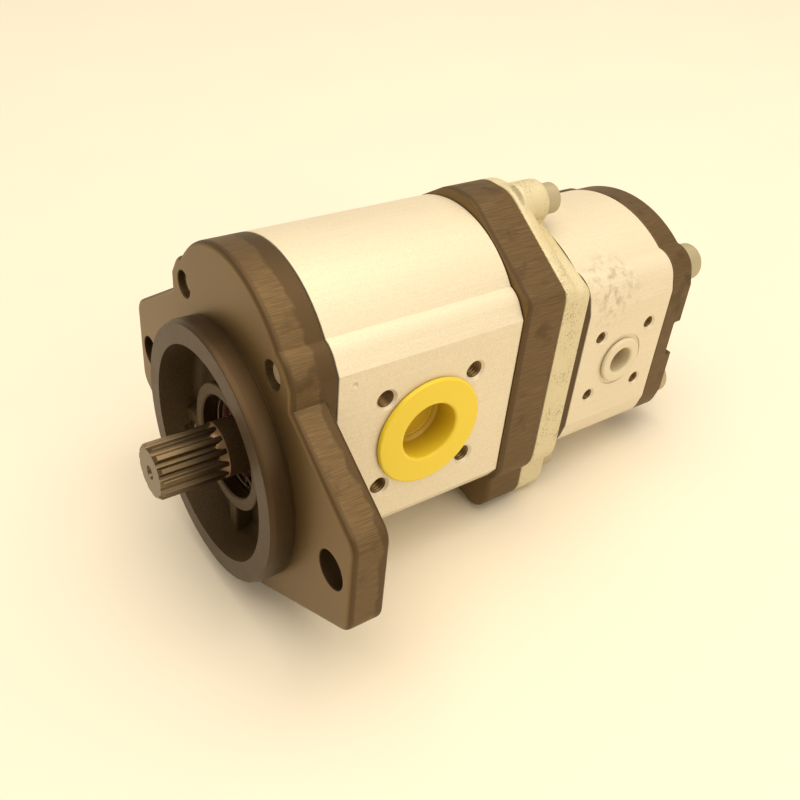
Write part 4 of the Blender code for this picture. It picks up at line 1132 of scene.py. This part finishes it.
def foot_outline(sign):
    """A lobe that reaches down to an adapter screw."""
    low = span("intermediate_plate")[0].z
    radius = 0.0085
    x = abs(middle("adapter_bolt_2").x)
    bottom = low + radius
    upper = FRONT.bolts[2][1]
    centres = ((x, upper), (x - 2 * radius, bottom + 0.004), (x, bottom))
    return band([(sign * across, up, radius) for across, up in centres])


class PUMP_OT_intermediate_plate(Operator):
    """Black plate between the stages"""

    bl_idname = "pump.intermediate_plate"
    bl_label = "Intermediate Plate"

    def execute(self, context):
        low, high = span("intermediate_plate")
        whole = slab(plate_outline(), low.y, high.y, 0.0008, 0.0005, 2)
        plate = piece_of("intermediate_plate_casting", whole)
        for sign in (1, -1):
            join(plate, slab(foot_outline(sign), low.y + THIN, high.y - THIN, 0.0008, 0.0005, 2))
        start, end = low.y - OVERRUN, high.y + OVERRUN
        cut(plate, hole(0, 0, COUPLING_PASSAGE, start, end))
        seat = span("front_stage_bolt_1")[1].y - STAGE_SCREW.height - GAP
        for x, z in FRONT.bolts:
            cut(plate, hole(x, z, STAGE_BOLT_HOLE, start, end))
            cut(plate, hole(x, z, HEAD_POCKET, seat, end))
        for i in (1, 2, 3):
            tip = span(f"adapter_bolt_{i}")[0].y - GAP
            drill(plate, [middle(f"adapter_bolt_{i}").xz], ADAPTER_BOLT_HOLE, tip, end)
        iron = coated_iron("coated_cast_iron_plate", (low.y, high.y), 1.2, 0.75)
        dress(plate, iron, "housing", "cast_black", "intermediate_plate")
        return {"FINISHED"}


class PUMP_OT_adapter_flange(Operator):
    """Light cast adapter between the plate and the rear stage"""

    bl_idname = "pump.adapter_flange"
    bl_label = "Adapter Flange"

    def execute(self, context):
        low, high = span("adapter_flange")
        rim = low.y + 0.0060
        adapter = piece_of("adapter_casting", slab(plate_outline(), low.y, rim, 0, 0.0018))
        join(adapter, slab(plate_outline(0.0080), rim - 0.003, ADAPTER_END, 0, 0.0014))
        for sign in (1, -1):
            join(adapter, slab(foot_outline(sign), low.y + THIN, ADAPTER_END - THIN, 0, 0.0010))
        x, _, z = middle("adapter_bolt_1")
        top = high.y - 0.00006
        ear_root = rim - 0.004
        ear = [(0, ear_root), (0.0090, ear_root), (0.0090, top - 0.0012), (0.0080, top), (0, top)]
        join(adapter, moved(turned(ear, 64), x=x, z=z))
        self.soften(adapter)
        # Two machined faces, which leave the ear as it was cast
        start, end = low.y - OVERRUN, high.y + OVERRUN
        skim = 0.00008
        wide = 0.1
        cut(adapter, hole(0, 0, COUPLING_PASSAGE, start, end))
        cut(adapter, block((-wide, start, -wide), (wide, low.y + skim, wide)))
        cut(adapter, block((-wide, ADAPTER_END - skim, -wide), (wide, end, z - 0.0105)))
        screws = [middle(f"adapter_bolt_{i}").xz for i in (1, 2, 3)]
        drill(adapter, screws, ADAPTER_BOLT_HOLE, start, end)
        tip = span("rear_stage_bolt_1")[0].y - GAP
        drill(adapter, REAR.bolts, STAGE_BOLT_HOLE, tip, ADAPTER_END + OVERRUN)
        dress(adapter, cast_aluminium(), "housing", "cast_aluminium", "adapter_flange")
        return {"FINISHED"}

    def soften(self, adapter):
        """Rounds every corner as a sand mould does: an even fine mesh, smoothed."""
        remesh = adapter.modifiers.new("remesh", "REMESH")
        remesh.mode = "VOXEL"
        remesh.voxel_size = 0.0007
        apply_all(adapter)
        shape = bmesh.new()
        shape.from_mesh(adapter.data)
        for _ in range(5):
            bmesh.ops.smooth_vert(
                shape, verts=shape.verts, factor=0.5, use_axis_x=True, use_axis_y=True, use_axis_z=True
            )
        shape.to_mesh(adapter.data)
        shape.free()


class PUMP_OT_rear_covers(Operator):
    """Black front plate and rear cover of the rear stage"""

    bl_idname = "pump.rear_covers"
    bl_label = "Rear Covers"

    def execute(self, context):
        low, high = span("rear_stage_front_plate")
        iron = coated_iron("coated_cast_iron_rear", (low.y, span("rear_cover")[1].y), 1.2, 0.7)
        whole = slab(section(REAR), low.y, high.y, 0.0006, 0.0004, 2)
        plate = piece_of("rear_front_plate_casting", whole)
        start, end = low.y - OVERRUN, high.y + OVERRUN
        cut(plate, hole(0, 0, REAR_JOURNAL + GAP, start, end))
        drill(plate, REAR.bolts, STAGE_BOLT_HOLE, start, end)
        dress(plate, iron, "housing", "cast_black", "rear_stage_front_plate")
        low, high = span("rear_cover")
        cover = piece_of("rear_cover_casting", slab(section(REAR), low.y, high.y, 0.0004, 0.0012, 3))
        centre = REAR.port_z + 0.0008
        half = 0.0085
        wide = 0.06
        bed, above = high.y - 0.0046, high.y + OVERRUN
        channel = block((-wide, bed, centre - half), (wide, above, centre + half))
        along = [e for e in channel.edges if e.calc_length() > 0.1]
        foot = [e for e in along if all(v.co.y < high.y for v in e.verts)]
        cut(cover, rounded(channel, foot, 0.0010, 3))
        drill(cover, REAR.bolts, STAGE_BOLT_HOLE, low.y - OVERRUN, high.y + OVERRUN)
        dress(cover, iron, "housing", "cast_black", "rear_cover")
        return {"FINISHED"}


class PUMP_OT_screws(Operator):
    """Socket-head cap screws of both stages and of the adapter"""

    bl_idname = "pump.screws"
    bl_label = "Screws"

    def execute(self, context):
        zinc = mottled("zinc_plated_steel", finishes().zinc, 0.5, 0.5, 1.2, 0.12, 0.85)
        names = [(f"front_stage_bolt_{i}", STAGE_SCREW) for i in range(1, 5)]
        names += [(f"rear_stage_bolt_{i}", STAGE_SCREW) for i in range(1, 5)]
        names += [(f"adapter_bolt_{i}", ADAPTER_SCREW) for i in range(1, 4)]
        for node, sizes in names:
            low, high = span(node)
            centre = middle(node)
            screw = piece_of(node + "_screw", self.body(sizes, low.y, high.y))
            key = slab(circle((0, 0), sizes.key, 6), high.y - sizes.height * 0.55, high.y + 0.002)
            cut(screw, key, hole(0, 0, sizes.key * 0.9, high.y, high.y + 0.003, 0.0006, 32))
            screw.data.transform(Matrix.Translation((centre.x, 0, centre.z)))
            dress(screw, zinc, "housing", "plated_steel", node)
        return {"FINISHED"}

    def body(self, sizes, tip, top):
        """Shank with ridges one pitch apart near its tip, and a head with rounded edges."""
        shank, head, height, _, pitch = sizes
        seat = top - height
        profile = [(0, top)] + arc((head - 0.0009, top - 0.0009), 0.0009, math.pi / 2, 0, 5)
        profile += [(head, seat + 0.0003), (head - 0.0003, seat), (shank, seat)]
        turns = 8
        y = tip + 0.0010 + turns * pitch
        for _ in range(turns):
            profile += [(shank, y), (shank - pitch * 0.4, y - pitch * 0.5)]
            y -= pitch
        profile += [(shank, y), (shank - 0.0012, tip), (0, tip)]
        return turned(profile, 64)


class PUMP_OT_inner_finishes(Operator):
    """Finishes of the bearing blocks, bushes, coupling and seals, whose shapes come from the frame"""

    bl_idname = "pump.inner_finishes"
    bl_label = "Inner Finishes"

    def execute(self, context):
        colours = finishes()
        steel = ground_steel("ground_coupling_steel")
        bearing = mottled("machined_bearing_aluminium", colours.bearing, 0.4, 0.9, 0.8, 0.08)
        bronze = mottled("sintered_bronze", colours.bronze, 0.38, 1.0, 0.5, 0.12, 0.7)
        rubber = mottled("nitrile_rubber_black", colours.rubber, 0.6, size_mm=0.5, depth=0.1)
        finish_of = {"bearing_block": bearing, "bush": bronze, "seal_a": rubber, "seal_b": rubber}
        for name, obj in frame["nodes"].items():
            material = steel if name == "shaft_coupling" else None
            for mark, finish in finish_of.items():
                if mark in name:
                    material = finish
            if material:
                obj.data.materials.clear()
                obj.data.materials.append(material)
        return {"FINISHED"}


class PUMP_OT_studio(Operator):
    """Pale floor, soft light and the camera"""

    bl_idname = "pump.studio"
    bl_label = "Studio"

    def execute(self, context):
        self.floor()
        self.lights(context)
        self.camera(context)
        return {"FINISHED"}

    def floor(self):
        """The pump rests on its flange's foot and its rear cover, so the floor leans to meet both."""
        flange_low, flange_high = span("front_cover")
        rear_low, rear_high = span("rear_cover")
        back = flange_high.y - 0.0050
        lean = math.atan2(rear_low.z - flange_low.z, rear_high.y - back)
        shape = bmesh.new()
        bmesh.ops.create_grid(shape, x_segments=2, y_segments=2, size=6.0)
        bmesh.ops.rotate(shape, verts=shape.verts, matrix=Matrix.Rotation(lean, 3, "X"), cent=(0, 0, 0))
        floor = piece_of("studio_floor", moved(shape, y=back, z=flange_low.z - 0.0002))
        floor.data.transform(Matrix.Translation(ORIGIN))
        # Painted board: matt, cream, with the faintest clouding
        floor.data.materials.append(
            mottled("painted_board", finishes().floor, 0.7, size_mm=8.0, depth=0.02, change=0.97)
        )

    def lights(self, context):
        world = bpy.data.worlds.new("studio_world")
        world.use_nodes = True
        sky = world.node_tree.nodes["Background"]
        sky.inputs["Color"].default_value = rgba(DAYLIGHT)
        sky.inputs["Strength"].default_value = 0.60
        context.scene.world = world
        self.lamp("overhead_softbox", (0.10, -0.10, 2.00), 2.2, 44.0)
        self.lamp("side_softbox", (1.30, 0.20, 0.80), 1.0, 5.0)

    def lamp(self, name, place, size, power):
        light = bpy.data.lights.new(name, "AREA")
        light.energy = power
        light.size = size
        light.color = DAYLIGHT
        lamp = bpy.data.objects.new(name, light)
        lamp.location = place
        lamp.rotation_euler = (Vector((0, 0, 0.05)) - Vector(place)).to_track_quat("-Z", "Y").to_euler()
        bpy.context.scene.collection.objects.link(lamp)

    def camera(self, context):
        """Looks down on the splined end from the inlet side, rolled a little to the left."""
        azimuth, elevation, roll = (math.radians(angle) for angle in (51.62, 35.39, 5.88))
        level = math.cos(elevation)
        forward = Vector((-math.sin(azimuth) * level, math.cos(azimuth) * level, -math.sin(elevation)))
        right = forward.cross(Vector((0, 0, 1))).normalized()
        up = right.cross(forward)
        right = right * math.cos(roll) + up * math.sin(roll)
        up = right.cross(forward)
        camera = bpy.data.cameras.new("camera")
        camera.sensor_width = 36.0
        camera.lens = 41.2
        camera.clip_start = 0.01
        eye = bpy.data.objects.new("camera", camera)
        turn = Matrix((right, up, -forward)).transposed().to_4x4()
        eye.matrix_world = Matrix.Translation(ORIGIN + Vector((0.2468, -0.1163, 0.2180))) @ turn
        context.scene.collection.objects.link(eye)
        context.scene.camera = eye
        context.scene.view_settings.view_transform = "Standard"


PIECES = (
    PUMP_OT_front_cover,
    PUMP_OT_drive_shaft,
    PUMP_OT_gears,
    PUMP_OT_shaft_seal,
    PUMP_OT_stage_bodies,
    PUMP_OT_port_caps,
    PUMP_OT_intermediate_plate,
    PUMP_OT_adapter_flange,
    PUMP_OT_rear_covers,
    PUMP_OT_screws,
    PUMP_OT_inner_finishes,
    PUMP_OT_studio,
)


class PUMP_PT_pieces(Panel):
    """Sizes, colours and pieces of the pump"""

    bl_label = "Gear Pump"
    bl_space_type = "VIEW_3D"
    bl_region_type = "UI"
    bl_category = "Gear Pump"

    def draw(self, context):
        for group in ("pump_cover", "pump_shaft", "pump_ports", "pump_finishes"):
            settings = getattr(context.scene, group)
            box = self.layout.box()
            for name in settings.bl_rna.properties.keys():
                if name not in ("rna_type", "name"):
                    box.prop(settings, name)
        for piece in PIECES:
            self.layout.operator(piece.bl_idname)


GROUPS = {
    "pump_cover": CoverSizes,
    "pump_shaft": ShaftSizes,
    "pump_ports": PortSizes,
    "pump_finishes": Finishes,
}


def register():
    for name, group in GROUPS.items():
        bpy.utils.register_class(group)
        setattr(bpy.types.Scene, name, PointerProperty(type=group))
    for item in (*PIECES, PUMP_PT_pieces):
        bpy.utils.register_class(item)


def unregister():
    for item in (PUMP_PT_pieces, *reversed(PIECES)):
        bpy.utils.unregister_class(item)
    for name, group in GROUPS.items():
        delattr(bpy.types.Scene, name)
        bpy.utils.unregister_class(group)


def main():
    register()
    for piece in PIECES:
        group, action = piece.bl_idname.split(".")
        getattr(getattr(bpy.ops, group), action)()


if __name__ == "__main__":
    main()
